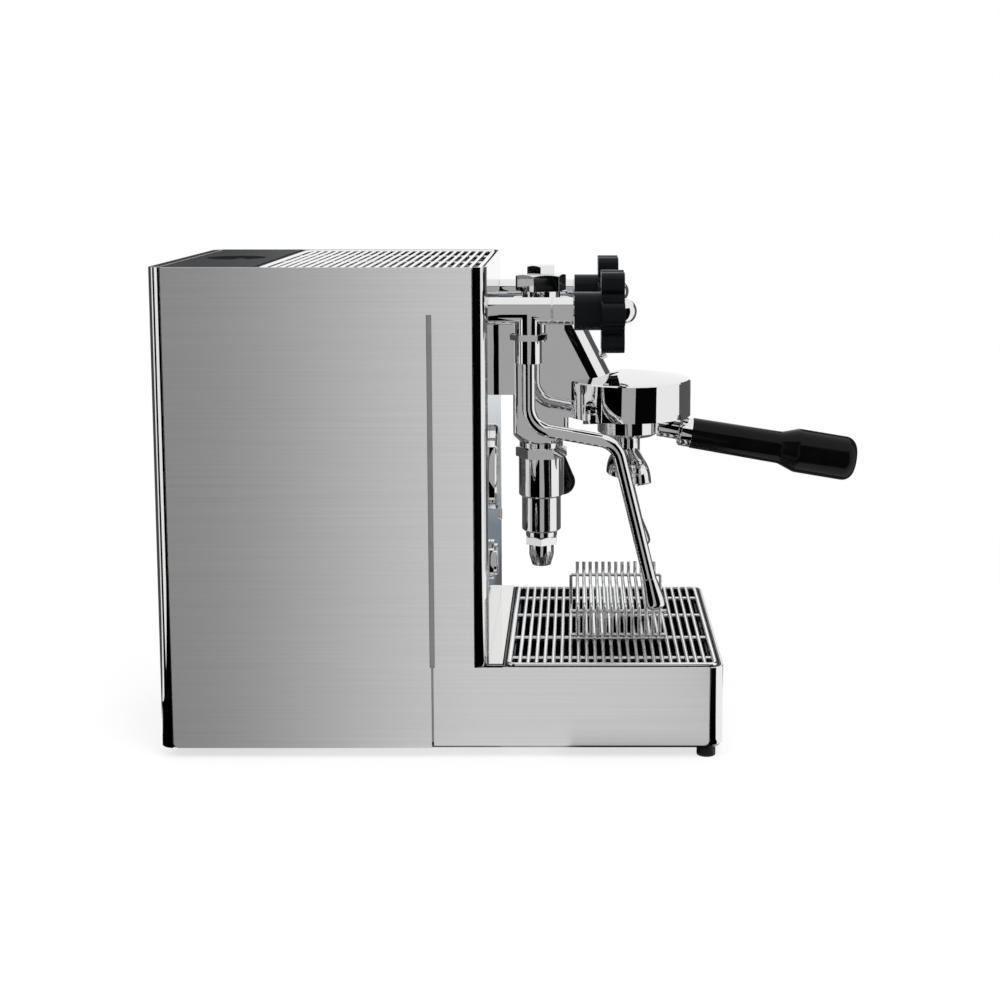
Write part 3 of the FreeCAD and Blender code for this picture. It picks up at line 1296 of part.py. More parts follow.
def gauge_glass():
    """Gauge's front glass."""
    ends = (GAUGE_FRONT - GLASS_THICKNESS, GAUGE_FRONT)
    return disc_x(GAUGE_FACE_RADIUS - HOLE_GAP, ends, GAUGE_Y, GAUGE_HEIGHT)


def gauge_needle():
    """Needle at the bottom of its scale, with a hub and a pin in the dial."""
    back = DIAL_BACK + DIAL_THICKNESS + SEAT_GAP
    front = back + NEEDLE_THICKNESS
    pointer = block(
        (back, front), (GAUGE_Y - NEEDLE_TAIL, GAUGE_Y + NEEDLE_LENGTH),
        (GAUGE_HEIGHT - NEEDLE_WIDTH / 2, GAUGE_HEIGHT + NEEDLE_WIDTH / 2),
    )
    pointer.rotate(V(0, GAUGE_Y, GAUGE_HEIGHT), X_AXIS, NEEDLE_ZERO)
    hub = disc_x(NEEDLE_HUB_RADIUS, (back, front), GAUGE_Y, GAUGE_HEIGHT)
    pin = disc_x(NEEDLE_PIN_RADIUS, (DIAL_BACK + SHAFT_FIT, back), GAUGE_Y, GAUGE_HEIGHT)
    return pointer.multiFuse([hub, pin])


def button_bezel():
    """Ring around the power button."""
    ends = (BODY_DEPTH, BODY_DEPTH + BUTTON_RIM_LENGTH)
    inner = BUTTON_RADIUS + SHAFT_FIT
    ring = disc_x(inner + BUTTON_RIM, ends, LEFT * BUTTON_SIDE, BUTTON_HEIGHT)
    return ring.cut(disc_x(inner, ends, LEFT * BUTTON_SIDE, BUTTON_HEIGHT))


def power_button():
    """Round push button with its stem behind the panel."""
    ends = (PANEL_BACK - BUTTON_STEM, BUTTON_FACE)
    return disc_x(BUTTON_RADIUS, ends, LEFT * BUTTON_SIDE, BUTTON_HEIGHT)


def pilot_lamp():
    """Lamp with a domed head, held in the front panel."""
    y = RIGHT * BUTTON_SIDE
    stem = disc_x(LAMP_STEM_RADIUS, (PANEL_BACK - LAMP_STEM, BODY_DEPTH), y, BUTTON_HEIGHT)
    head = disc_x(LAMP_RADIUS, (BODY_DEPTH, BODY_DEPTH + LAMP_PROUD), y, BUTTON_HEIGHT)
    front = edge_circles(head, V(0, 0, 0), X_AXIS, BODY_DEPTH + LAMP_PROUD)
    return stem.fuse(head.makeFillet(LAMP_PROUD / 2, front))


def boiler_shape(wall):
    """Turned boiler shape with dished ends, a wall's thickness inside the outer one."""
    half = BOILER_LENGTH / 2 - wall
    radius = BOILER_RADIUS - wall
    profile = [
        (0, -half),
        (radius - BOILER_DISH, -half),
        (radius, -half + BOILER_DISH),
        (radius, half - BOILER_DISH),
        (radius - BOILER_DISH, half),
        (0, half),
    ]
    return turned(profile, V(BOILER_X, 0, BOILER_Z), Y_AXIS, X_AXIS)


def boiler():
    """Hollow boiler across the body, with a hole for each pipe."""
    holes = []
    for rise in (-GROUP_PIPE_RISE, GROUP_PIPE_RISE):
        holes.append(disc_x(PIPE_BORE, (BOILER_X, BODY_DEPTH), 0, FLANGE_Z + rise))
    for side in SIDES:
        holes.append(disc_z(PIPE_BORE, (BOILER_Z, BODY_TOP), BOILER_X, side * STEAM_PIPE_SIDE))
    return boiler_shape(0).cut(boiler_shape(BOILER_WALL)).cut(Part.makeCompound(holes))


def boiler_cradle():
    """Two upright plates on the base plate that carry the boiler in round seats."""
    plates = []
    for side in SIDES:
        y = side * CRADLE_SIDE
        across = (y - CRADLE_THICKNESS / 2, y + CRADLE_THICKNESS / 2)
        along = (BOILER_X - CRADLE_WIDTH / 2, BOILER_X + CRADLE_WIDTH / 2)
        plate = block(along, across, (FLOOR_TOP, BOILER_FLOOR + CRADLE_WRAP))
        foot = block(along, sorted((y, y + side * CRADLE_FOOT)), (FLOOR_TOP, FLOOR_TOP + CRADLE_THICKNESS))
        seat = rod(
            V(BOILER_X, across[0], BOILER_Z),
            V(BOILER_X, across[1], BOILER_Z),
            BOILER_RADIUS + HOLE_GAP,
        )
        plates.append(plate.fuse(foot).cut(seat))
    return Part.makeCompound(plates)


def heating_element():
    """Flange and terminals of the heating element on the boiler's right end."""
    start = BOILER_LENGTH / 2
    flange = rod(
        V(BOILER_X, start, BOILER_Z),
        V(BOILER_X, start + ELEMENT_FLANGE, BOILER_Z),
        ELEMENT_RADIUS,
    )
    pins = []
    for offset in (-TERMINAL_SPACING, TERMINAL_SPACING):
        foot = V(BOILER_X + offset, start + ELEMENT_FLANGE, BOILER_Z)
        pins.append(rod(foot, foot + Y_AXIS * TERMINAL_LENGTH, TERMINAL_RADIUS))
    return flange.multiFuse(pins)


def copper_pipes():
    """Two pipes from the boiler to the group and one to each valve."""
    pipes = []
    spigot_back = PANEL_BACK - SPIGOT_LENGTH
    shell = rod(
        V(BOILER_X, -BOILER_LENGTH, BOILER_Z),
        V(BOILER_X, BOILER_LENGTH, BOILER_Z),
        BOILER_RADIUS + SHAFT_FIT,
    )
    for rise in (-GROUP_PIPE_RISE, GROUP_PIPE_RISE):
        ends = (BOILER_X, spigot_back)
        tube = disc_x(PIPE_RADIUS, ends, 0, FLANGE_Z + rise).cut(disc_x(PIPE_BORE, ends, 0, FLANGE_Z + rise))
        pipes.append(tube.cut(shell))
    bends = (PIPE_BEND, PIPE_BEND)
    for side in SIDES:
        start = V(BOILER_X, side * STEAM_PIPE_SIDE, BOILER_Z)
        lift = V(BOILER_X, side * STEAM_PIPE_SIDE, VALVE_Z)
        across = V(BOILER_X + STEAM_PIPE_AHEAD, side * VALVE_SIDE, VALVE_Z)
        end = V(PANEL_BACK - VALVE_TAIL, side * VALVE_SIDE, VALVE_Z)
        route = [start, lift, across, end]
        tube = bent_rod(route, bends, PIPE_RADIUS).cut(bent_rod(route, bends, PIPE_BORE))
        pipes.append(tube.cut(shell))
    return Part.makeCompound(pipes)


def pump():
    """Vibration pump on two feet, with a port at each end."""
    z = FLOOR_TOP + PUMP_CLEARANCE + PUMP_RADIUS
    half = PUMP_LENGTH / 2
    centre = V(PUMP_X, 0, z)
    barrel = rod(centre - Y_AXIS * half, centre + Y_AXIS * half, PUMP_RADIUS)
    port_end = Y_AXIS * (half + PUMP_PORT_LENGTH)
    ports = rod(centre - port_end, centre + port_end, PUMP_PORT_RADIUS)
    pieces = [ports]
    for side in SIDES:
        middle = side * half / 2
        across = (middle - PUMP_FOOT_LENGTH / 2, middle + PUMP_FOOT_LENGTH / 2)
        along = (PUMP_X - PUMP_RADIUS / 2, PUMP_X + PUMP_RADIUS / 2)
        pieces.append(block(along, across, (FLOOR_TOP, z)))
    return barrel.multiFuse(pieces)


def control_box():
    """Closed box for the electronics on the base plate."""
    along = (CONTROL_BOX_FRONT - CONTROL_BOX_DEPTH, CONTROL_BOX_FRONT)
    across = (-CONTROL_BOX_WIDTH / 2, CONTROL_BOX_WIDTH / 2)
    return block(along, across, (FLOOR_TOP, FLOOR_TOP + CONTROL_BOX_HEIGHT))


def power_inlet():
    """Recessed mains inlet in the rear panel, with a flange outside and three contact pins."""
    half_wide = INLET_WIDTH / 2
    half_tall = INLET_TALL / 2
    body = block(
        (0, INLET_DEPTH),
        (INLET_SIDE - half_wide, INLET_SIDE + half_wide),
        (INLET_HEIGHT - half_tall, INLET_HEIGHT + half_tall),
    )
    flange = block(
        (-INLET_FLANGE_THICKNESS, 0),
        (INLET_SIDE - half_wide - INLET_FLANGE, INLET_SIDE + half_wide + INLET_FLANGE),
        (INLET_HEIGHT - half_tall - INLET_FLANGE, INLET_HEIGHT + half_tall + INLET_FLANGE),
    )
    hollow = block(
        (-INLET_FLANGE_THICKNESS, INLET_DEPTH - INLET_WALL),
        (INLET_SIDE - half_wide + INLET_WALL, INLET_SIDE + half_wide - INLET_WALL),
        (INLET_HEIGHT - half_tall + INLET_WALL, INLET_HEIGHT + half_tall - INLET_WALL),
    )
    pins = []
    for step, rise in ((-1, -INLET_PIN_OFFSET), (0, INLET_PIN_OFFSET), (1, -INLET_PIN_OFFSET)):
        y = INLET_SIDE + step * INLET_PIN_SPACING
        z = INLET_HEIGHT + rise
        pins.append(
            block(
                (INLET_DEPTH - INLET_WALL - INLET_PIN_LENGTH, INLET_DEPTH),
                (y - INLET_PIN_THICKNESS / 2, y + INLET_PIN_THICKNESS / 2),
                (z - INLET_PIN_WIDTH / 2, z + INLET_PIN_WIDTH / 2),
            )
        )
    return body.fuse(flange).cut(hollow).multiFuse(pins)


def build():
    """All sub-parts by name, with the rear panel's outer face at X = 0."""
    return {
        "base_plate": base_plate(),
        "rear_panel": rear_panel(),
        "left_side_panel": side_panel(LEFT),
        "right_side_panel": side_panel(RIGHT),
        "front_panel": front_panel(),
        "feet": feet(),
        "tank_shelf": tank_shelf(),
        "water_tank": water_tank(),
        "tank_lid": tank_lid(),
        "cup_tray": cup_tray(),
        "cup_rack": cup_rack(),
        "drip_tray": drip_tray(),
        "tray_front": tray_front(),
        "drip_grille": drip_grille(),
        "cup_stand": cup_stand(),
        "group_body": group_body(),
        "bleed_screw": bleed_screw(),
        "group_top_nut": group_top_nut(),
        "group_cap": group_cap(),
        "infusion_chamber": infusion_chamber(),
        "drain_nozzle": drain_nozzle(),
        "group_gasket": group_gasket(),
        "shower_screen": shower_screen(),
        "cam_gland_nut": cam_gland_nut(),
        "brew_lever": brew_lever(),
        "lever_grip": lever_grip(),
        "portafilter": portafilter(),
        "portafilter_ferrule": portafilter_ferrule(),
        "portafilter_handle": portafilter_handle(),
        "double_spout": double_spout(),
        "filter_basket": filter_basket(),
        "steam_valve": valve(LEFT),
        "water_valve": valve(RIGHT),
        "valve_locknuts": valve_locknuts(),
        "swivel_nuts": swivel_nuts(),
        "steam_spindle": spindle(LEFT),
        "water_spindle": spindle(RIGHT),
        "steam_knob": knob(LEFT),
        "water_knob": knob(RIGHT),
        "steam_knob_cap": knob_cap(LEFT),
        "water_knob_cap": knob_cap(RIGHT),
        "steam_wand": wand(LEFT),
        "water_wand": wand(RIGHT),
        "steam_tip": wand_tip(LEFT),
        "water_tip": wand_tip(RIGHT),
        "gauge_case": gauge_case(),
        "gauge_dial": gauge_dial(),
        "gauge_glass": gauge_glass(),
        "gauge_needle": gauge_needle(),
        "button_bezel": button_bezel(),
        "power_button": power_button(),
        "pilot_lamp": pilot_lamp(),
        "boiler": boiler(),
        "boiler_cradle": boiler_cradle(),
        "heating_element": heating_element(),
        "copper_pipes": copper_pipes(),
        "pump": pump(),
        "control_box": control_box(),
        "power_inlet": power_inlet(),
    }


def origin_shift(shapes):
    """Move along X that puts the origin under the middle of the machine's box."""
    boxes = [shape.optimalBoundingBox(False) for shape in shapes.values()]
    low = min(box.XMin for box in boxes)
    high = max(box.XMax for box in boxes)
    return V(-(low + high) / 2, 0, 0)


def main():
    """Build every sub-part and write one STEP file for each."""
    os.makedirs("parts", exist_ok=True)
    shapes = build()
    shift = origin_shift(shapes)
    for name, shape in shapes.items():
        shape.translate(shift)
        shape.exportStep("parts/" + name + ".step")


if __name__ == "__main__":
    main()
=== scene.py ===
"""Looks of a compact espresso machine with a lever group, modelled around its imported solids."""
import json
import logging
import math
from collections.abc import Callable
from dataclasses import dataclass, field
from enum import Enum

import bpy
from mathutils import Matrix, Vector


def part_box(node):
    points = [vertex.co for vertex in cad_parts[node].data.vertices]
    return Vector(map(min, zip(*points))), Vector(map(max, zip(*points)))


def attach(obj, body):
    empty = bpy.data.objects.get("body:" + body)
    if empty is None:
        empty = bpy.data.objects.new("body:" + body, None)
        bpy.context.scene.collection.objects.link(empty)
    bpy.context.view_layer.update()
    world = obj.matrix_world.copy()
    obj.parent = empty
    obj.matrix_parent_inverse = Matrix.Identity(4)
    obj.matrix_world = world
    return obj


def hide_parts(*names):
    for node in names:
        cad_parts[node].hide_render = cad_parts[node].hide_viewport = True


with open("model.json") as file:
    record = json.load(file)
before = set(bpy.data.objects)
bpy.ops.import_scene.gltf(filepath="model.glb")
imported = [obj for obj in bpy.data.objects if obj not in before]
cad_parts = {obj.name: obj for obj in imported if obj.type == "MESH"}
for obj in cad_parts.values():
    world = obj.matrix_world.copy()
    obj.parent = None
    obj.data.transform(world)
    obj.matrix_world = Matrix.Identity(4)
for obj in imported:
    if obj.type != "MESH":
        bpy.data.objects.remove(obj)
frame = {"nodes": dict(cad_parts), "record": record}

LOG = logging.getLogger("espresso_machine")
MM = 0.001
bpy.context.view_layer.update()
NODES: dict[str, bpy.types.Object] = frame["nodes"]
BODY_OF: dict[str, str] = {
    node: body for body, nodes in frame["record"]["behaviour"]["bodies"].items() for node in nodes
}
SLOT_OF: dict[str, str] = {part["node"]: part["material_slot"] for part in frame["record"]["subparts"]}

# Loose triangles of a solid are welded within this distance, and faces this close to flat are joined.
WELD = 0.005 * MM
FLAT_ANGLE = math.radians(0.4)
SHARP_ANGLE = math.radians(32)

# sRGB's curve: a straight foot up to the knee, then a power.
SRGB_KNEE = 0.04045
SRGB_FOOT = 12.92
SRGB_OFFSET = 0.055
SRGB_POWER = 2.4

# Nearly all of a noise node's values lie between these two.
NOISE_LOW, NOISE_HIGH = 0.3, 0.7
# A mix node's colour sockets, which share their names with its other sockets: first, second, result.
MIX_FIRST, MIX_SECOND, MIX_RESULT = 6, 7, 2


def linear(code: str, alpha: float = 1.0) -> tuple[float, float, float, float]:
    """Turn an sRGB hex colour into linear values.

    Args:
        code: Six hex digits after a hash sign.
        alpha: Opacity that goes with the colour.

    Returns:
        Linear red, green, blue and the alpha.
    """
    values = []
    for start in (1, 3, 5):
        share = int(code[start:start + 2], 16) / 255
        if share <= SRGB_KNEE:
            values.append(share / SRGB_FOOT)
        else:
            values.append(((share + SRGB_OFFSET) / (1 + SRGB_OFFSET)) ** SRGB_POWER)
    return values[0], values[1], values[2], alpha


def add_node(
    tree: bpy.types.NodeTree, kind: str, inputs: dict[str | int, object] | None = None, **settings: object,
) -> bpy.types.Node:
    """Add a node, set its options, and fill or link its inputs.

    Args:
        tree: Node tree that gets the node.
        kind: Blender's type name of the node.
        inputs: Input name or number, with a value or the socket that feeds it.
        settings: Options of the node by attribute name.

    Returns:
        The new node.
    """
    node = tree.nodes.new(kind)
    for name, value in settings.items():
        setattr(node, name, value)
    for name, value in (inputs or {}).items():
        if isinstance(value, bpy.types.NodeSocket):
            tree.links.new(value, node.inputs[name])
        else:
            node.inputs[name].default_value = value
    return node


@dataclass(frozen=True)
class Finish:
    """A surface finish; each kind of finish below wires its own pattern."""

    name: str
    colour: str
    roughness: float

    def material(self) -> bpy.types.Material:
        """Make the material once and hand the same one out after that.

        Returns:
            The material.
        """
        found = bpy.data.materials.get(self.name)
        if found:
            return found
        made = bpy.data.materials.new(self.name)
        made.use_nodes = True
        made.diffuse_color = linear(self.colour)
        tree = made.node_tree
        self.wire(tree, tree.nodes["Principled BSDF"])
        return made

    def wire(self, tree: bpy.types.NodeTree, shader: bpy.types.Node) -> None:
        """Set the plain values; the kinds of finish add their patterns.

        Args:
            tree: The material's node tree.
            shader: Its principled shader.
        """
        shader.inputs["Base Color"].default_value = linear(self.colour)
        shader.inputs["Roughness"].default_value = self.roughness

    def pattern(
        self, tree: bpy.types.NodeTree, size_mm: tuple[float, float, float], detail: float,
    ) -> bpy.types.Node:
        """Add noise whose grains have a real size along each axis.

        Args:
            tree: The material's node tree.
            size_mm: Grain length along X, Y and Z.
            detail: Octaves of finer noise.

        Returns:
            The noise node.
        """
        place = add_node(tree, "ShaderNodeTexCoord")
        scale = [1 / (length * MM) for length in size_mm]
        spread = add_node(tree, "ShaderNodeMapping", {"Vector": place.outputs["Object"], "Scale": scale})
        inputs = {"Vector": spread.outputs[0], "Scale": 1.0, "Detail": detail}
        return add_node(tree, "ShaderNodeTexNoise", inputs)

    def vary(
        self, tree: bpy.types.NodeTree, noise: bpy.types.Node, low: float, high: float,
    ) -> bpy.types.NodeSocket:
        """Map noise to a range of values.

        Args:
            tree: The material's node tree.
            noise: Noise node from pattern.
            low: Value at the noise's lows.
            high: Value at its highs.

        Returns:
            Socket with the mapped value.
        """
        inputs = {
            "Value": noise.outputs["Fac"], "From Min": NOISE_LOW, "From Max": NOISE_HIGH,
            "To Min": low, "To Max": high,
        }
        return add_node(tree, "ShaderNodeMapRange", inputs).outputs[0]

    def tint(self, tree: bpy.types.NodeTree, noise: bpy.types.Node, other: str) -> bpy.types.NodeSocket:
        """Mix the colour with another by noise.

        Args:
            tree: The material's node tree.
            noise: Noise node from pattern.
            other: Hex colour at the noise's highs.

        Returns:
            Socket with the mixed colour.
        """
        share = self.vary(tree, noise, 0.0, 1.0)
        inputs = {"Factor": share, MIX_FIRST: linear(self.colour), MIX_SECOND: linear(other)}
        return add_node(tree, "ShaderNodeMix", inputs, data_type="RGBA").outputs[MIX_RESULT]

    def bump(self, tree: bpy.types.NodeTree, noise: bpy.types.Node, height_mm: float) -> bpy.types.NodeSocket:
        """Turn noise into small relief.

        Args:
            tree: The material's node tree.
            noise: Noise node from pattern.
            height_mm: Height of the relief.

        Returns:
            Socket with the bumped normal.
        """
        inputs = {"Height": noise.outputs["Fac"], "Distance": height_mm * MM, "Strength": 1.0}
        return add_node(tree, "ShaderNodeBump", inputs).outputs[0]


@dataclass(frozen=True)
class PolishedMetal(Finish):
    """Buffed metal: a mirror with a faint haze in patches and polishing marks too fine to see singly."""

    haze: float = 0.03
    haze_mm: float = 22.0

    def wire(self, tree: bpy.types.NodeTree, shader: bpy.types.Node) -> None:
        """Vary the mirror's sharpness a little from place to place.

        Args:
            tree: The material's node tree.
            shader: Its principled shader.
        """
        super().wire(tree, shader)
        shader.inputs["Metallic"].default_value = 1.0
        patches = self.pattern(tree, (self.haze_mm,) * 3, detail=3.0)
        spread = self.vary(tree, patches, self.roughness, self.roughness + self.haze)
        tree.links.new(spread, shader.inputs["Roughness"])


@dataclass(frozen=True)
class WrapSteel(Finish):
    """Sheet bent round the back: satin on the flat back, a mirror round the corners and the rim."""

    satin: float = 0.34
    flat_facing: float = -0.98
    bent_facing: float = -0.90
    haze: float = 0.03
    haze_mm: float = 22.0

    def wire(self, tree: bpy.types.NodeTree, shader: bpy.types.Node) -> None:
        """Let the roughness fall as the sheet turns away from the back, with a faint haze all over.

        Args:
            tree: The material's node tree.
            shader: Its principled shader.
        """
        super().wire(tree, shader)
        shader.inputs["Metallic"].default_value = 1.0
        place = add_node(tree, "ShaderNodeTexCoord")
        split = add_node(tree, "ShaderNodeSeparateXYZ", {0: place.outputs["Normal"]})
        inputs = {
            "Value": split.outputs["X"], "From Min": self.flat_facing, "From Max": self.bent_facing,
            "To Min": self.satin, "To Max": self.roughness,
        }
        level = add_node(tree, "ShaderNodeMapRange", inputs)
        haze = self.vary(tree, self.pattern(tree, (self.haze_mm,) * 3, detail=3.0), 0.0, self.haze)
        total = add_node(tree, "ShaderNodeMath", {0: level.outputs[0], 1: haze}, operation="ADD")
        tree.links.new(total.outputs[0], shader.inputs["Roughness"])


@dataclass(frozen=True)
class BrushedSteel(Finish):
    """Stainless sheet brushed along X: long fine lines that smear reflections up and down."""

    pale: str = "#E4E4E4"
    line_mm: float = 0.6
    run_mm: float = 160.0
    band_mm: float = 1.6
    relief_mm: float = 0.0025
    smear: float = 0.8
    smear_turn: float = 0.25
    smoother: float = 0.015
    rougher: float = 0.02

    def wire(self, tree: bpy.types.NodeTree, shader: bpy.types.Node) -> None:
        """Draw the brushing. Real lines are about 0.1 mm apart and are drawn coarser so that they show.

        Args:
            tree: The material's node tree.
            shader: Its principled shader.
        """
        super().wire(tree, shader)
        shader.inputs["Metallic"].default_value = 1.0
        shader.inputs["Anisotropic"].default_value = self.smear
        shader.inputs["Anisotropic Rotation"].default_value = self.smear_turn
        lines = self.pattern(tree, (self.run_mm, self.line_mm, self.line_mm), detail=4.0)
        bands = self.pattern(tree, (self.run_mm, self.band_mm, self.band_mm), detail=2.0)
        tree.links.new(self.tint(tree, bands, self.pale), shader.inputs["Base Color"])
        spread = self.vary(tree, lines, self.roughness - self.smoother, self.roughness + self.rougher)
        tree.links.new(spread, shader.inputs["Roughness"])
        tree.links.new(self.bump(tree, lines, self.relief_mm), shader.inputs["Normal"])
        tangent = add_node(tree, "ShaderNodeTangent", direction_type="RADIAL", axis="Z")
        tree.links.new(tangent.outputs[0], shader.inputs["Tangent"])


@dataclass(frozen=True)
class MouldedPlastic(Finish):
    """Moulded plastic: even colour with a fine grain from the mould and slight patches of wear."""

    worn: str = "#202020"
    grain_mm: float = 0.6
    relief_mm: float = 0.006
    specular: float = 0.4
    patch_mm: float = 16.0
    dulling: float = 0.08

    def wire(self, tree: bpy.types.NodeTree, shader: bpy.types.Node) -> None:
        """Add grain, patches and gloss changes.

        Args:
            tree: The material's node tree.
            shader: Its principled shader.
        """
        super().wire(tree, shader)
        shader.inputs["Specular IOR Level"].default_value = self.specular
        patches = self.pattern(tree, (self.patch_mm,) * 3, detail=4.0)
        grain = self.pattern(tree, (self.grain_mm,) * 3, detail=2.0)
        tree.links.new(self.tint(tree, patches, self.worn), shader.inputs["Base Color"])
        spread = self.vary(tree, patches, self.roughness, self.roughness + self.dulling)
        tree.links.new(spread, shader.inputs["Roughness"])
        tree.links.new(self.bump(tree, grain, self.relief_mm), shader.inputs["Normal"])


@dataclass(frozen=True)
class ClearMaterial(Finish):
    """Clear glass or plastic with faint smears."""

    ior: float = 1.5
    clearness: float = 1.0
    smear_mm: float = 14.0
    dulling: float = 0.05

    def wire(self, tree: bpy.types.NodeTree, shader: bpy.types.Node) -> None:
        """Let light through and smear the gloss a little.

        Args:
            tree: The material's node tree.
            shader: Its principled shader.
        """
        super().wire(tree, shader)
        shader.inputs["Transmission Weight"].default_value = self.clearness
        shader.inputs["IOR"].default_value = self.ior
        smears = self.pattern(tree, (self.smear_mm,) * 3, detail=3.0)
        spread = self.vary(tree, smears, self.roughness, self.roughness + self.dulling)
        tree.links.new(spread, shader.inputs["Roughness"])


@dataclass(frozen=True)
class Lacquer(Finish):
    """Flat print or lacquer with a slight mottle."""

    mottle: str = "#FFFFFF"
    patch_mm: float = 5.0

    def wire(self, tree: bpy.types.NodeTree, shader: bpy.types.Node) -> None:
        """Mottle the colour.

        Args:
            tree: The material's node tree.
            shader: Its principled shader.
        """
        super().wire(tree, shader)
        patches = self.pattern(tree, (self.patch_mm,) * 3, detail=4.0)
        tree.links.new(self.tint(tree, patches, self.mottle), shader.inputs["Base Color"])


# Stainless steel brushed along its length: bright grey, lines show as faint streaks.
SIDE_STEEL = BrushedSteel("brushed_stainless", "#DEDEDE", 0.33)
# Stainless steel buffed to a mirror: the front panel and the tray's front.
MIRROR_STEEL = PolishedMetal("buffed_stainless", "#E2E2E1", 0.03)
# Stainless steel of the wrapped back: satin, with its corners buffed.
WRAP_STEEL = WrapSteel("wrapped_stainless", "#E2E2E1", 0.03)
# Chrome on brass: the hardest and whitest mirror on the machine.
CHROME = PolishedMetal("chrome_on_brass", "#E6E6E7", 0.015, haze=0.02)
# Chrome on brass with a cut pattern: its colour is darkened to grey as painted shade for the cuts.
CHROME_PAINTED_SHADE = PolishedMetal("cut_chrome_painted_shade", "#8A8A8C", 0.12, haze=0.05)
# Drawn stainless wire, polished.
WIRE_STEEL = PolishedMetal("drawn_wire", "#F0F0F0", 0.06, haze=0.05, haze_mm=6.0)
# Pressed stainless pans under the wires: their colour is darkened to a dull dark grey as painted shade for
# the shade they lie in.
PAN_STEEL_PAINTED_SHADE = PolishedMetal("pressed_pan_painted_shade", "#3C3E42", 0.22, haze=0.12, haze_mm=14.0)
# Plain mill-finish sheet inside the casing.
MILL_STEEL = PolishedMetal("mill_sheet", "#9A9A9A", 0.32, haze=0.12, haze_mm=12.0)
# Satin ABS of the tank lid.
LID_PLASTIC = MouldedPlastic("satin_abs", "#2C2D2E", 0.55, worn="#303133", grain_mm=0.5, specular=0.06)
# Phenolic of the valve knobs: black with a cold cast.
KNOB_PLASTIC = MouldedPlastic(
    "phenolic_knob", "#06080A", 0.20, worn="#090B0D", relief_mm=0.002, specular=0.12,
)
# Gloss phenolic of the handle and the lever's grip.
HANDLE_PLASTIC = MouldedPlastic(
    "gloss_phenolic", "#050505", 0.10, worn="#080808", relief_mm=0.001, specular=0.14,
)
# Black rubber of feet and gasket.
RUBBER = MouldedPlastic("black_rubber", "#101010", 0.62, worn="#181818", grain_mm=0.8, relief_mm=0.02)
# Black moulded housing of the inlet and the control box.
HOUSING = MouldedPlastic("black_housing", "#141414", 0.45, worn="#1C1C1C")
# Clear plastic of the tank, glass of the gauge, and the lamp's half-clear lens.
TANK_CLEAR = ClearMaterial("clear_tank_plastic", "#E8EEF2", 0.08, ior=1.49)
GAUGE_GLASS = ClearMaterial("gauge_glass", "#FFFFFF", 0.01, ior=1.1)
LAMP_LENS = ClearMaterial("clear_lens", "#F2EFE6", 0.08, ior=1.49, clearness=0.5)
# White dial, black print and needle, and the pump's grey paint.
DIAL_WHITE = Lacquer("dial_lacquer", "#EDEDE8", 0.45, mottle="#F4F4F0")
DIAL_BLACK = Lacquer("dial_print", "#111111", 0.5, mottle="#181818")
PUMP_PAINT = Lacquer("pump_paint", "#3A3C40", 0.4, mottle="#45474B")
# Drawn copper pipe, dulled in patches by heat.
COPPER = PolishedMetal("drawn_copper", "#C77B58", 0.18, haze=0.2, haze_mm=9.0)

SLOT_FINISH: dict[str, Finish] = {
    "brushed_steel": SIDE_STEEL,
    "polished_steel": MIRROR_STEEL,
    "chrome": CHROME,
    "steel_wire": WIRE_STEEL,
    "inner_steel": MILL_STEEL,
    "black_lid": LID_PLASTIC,
    "black_knob": KNOB_PLASTIC,
    "black_handle": HANDLE_PLASTIC,
    "rubber": RUBBER,
    "tank_plastic": TANK_CLEAR,
    "dial_white": DIAL_WHITE,
    "needle_black": DIAL_BLACK,
    "gauge_glass": GAUGE_GLASS,
    "lamp_lens": LAMP_LENS,
    "copper": COPPER,
    "pump_metal": PUMP_PAINT,
    "box_plastic": HOUSING,
}


def clear_selection() -> None:
    """Leave edit mode and select nothing."""
    if bpy.context.object and bpy.context.object.mode != "OBJECT":
        bpy.ops.object.mode_set(mode="OBJECT")
    bpy.ops.object.select_all(action="DESELECT")


def take_up(piece: bpy.types.Object) -> None:
    """Make a piece the only selected and active object.

    Args:
        piece: Object to work on.
    """
    clear_selection()
    piece.select_set(True)
    bpy.context.view_layer.objects.active = piece


def open_mesh(piece: bpy.types.Object) -> None:
    """Enter edit mode with all of a piece's mesh selected.

    Args:
        piece: Mesh object to edit.
    """
    take_up(piece)
    bpy.ops.object.mode_set(mode="EDIT")
    bpy.ops.mesh.select_all(action="SELECT")


def close_mesh() -> None:
    """Go back to object mode."""
    bpy.ops.object.mode_set(mode="OBJECT")


def apply_modifier(piece: bpy.types.Object, kind: str, **settings: object) -> None:
    """Add a modifier with its settings and apply it at once.

    Args:
        piece: Object to change.
        kind: Blender's type name of the modifier.
        settings: Options of the modifier by attribute name.
    """
    take_up(piece)
    modifier = piece.modifiers.new(kind.lower(), kind)
    for name, value in settings.items():
        setattr(modifier, name, value)
    bpy.ops.object.modifier_apply(modifier=modifier.name)


def soften(piece: bpy.types.Object, width_mm: float, segments: int = 3) -> None:
    """Round a piece's sharp edges and shade it so that flats stay flat.

    Args:
        piece: Object to change.
        width_mm: Width of the round, or 0 for none.
        segments: Faces across each round.
    """
    if width_mm > 0:
        apply_modifier(
            piece, "BEVEL", width=width_mm * MM, segments=segments, limit_method="ANGLE",
            angle_limit=SHARP_ANGLE, miter_outer="MITER_ARC",
        )
    take_up(piece)
    bpy.ops.object.shade_smooth_by_angle(angle=SHARP_ANGLE)
    apply_modifier(piece, "WEIGHTED_NORMAL", keep_sharp=True, weight=100)


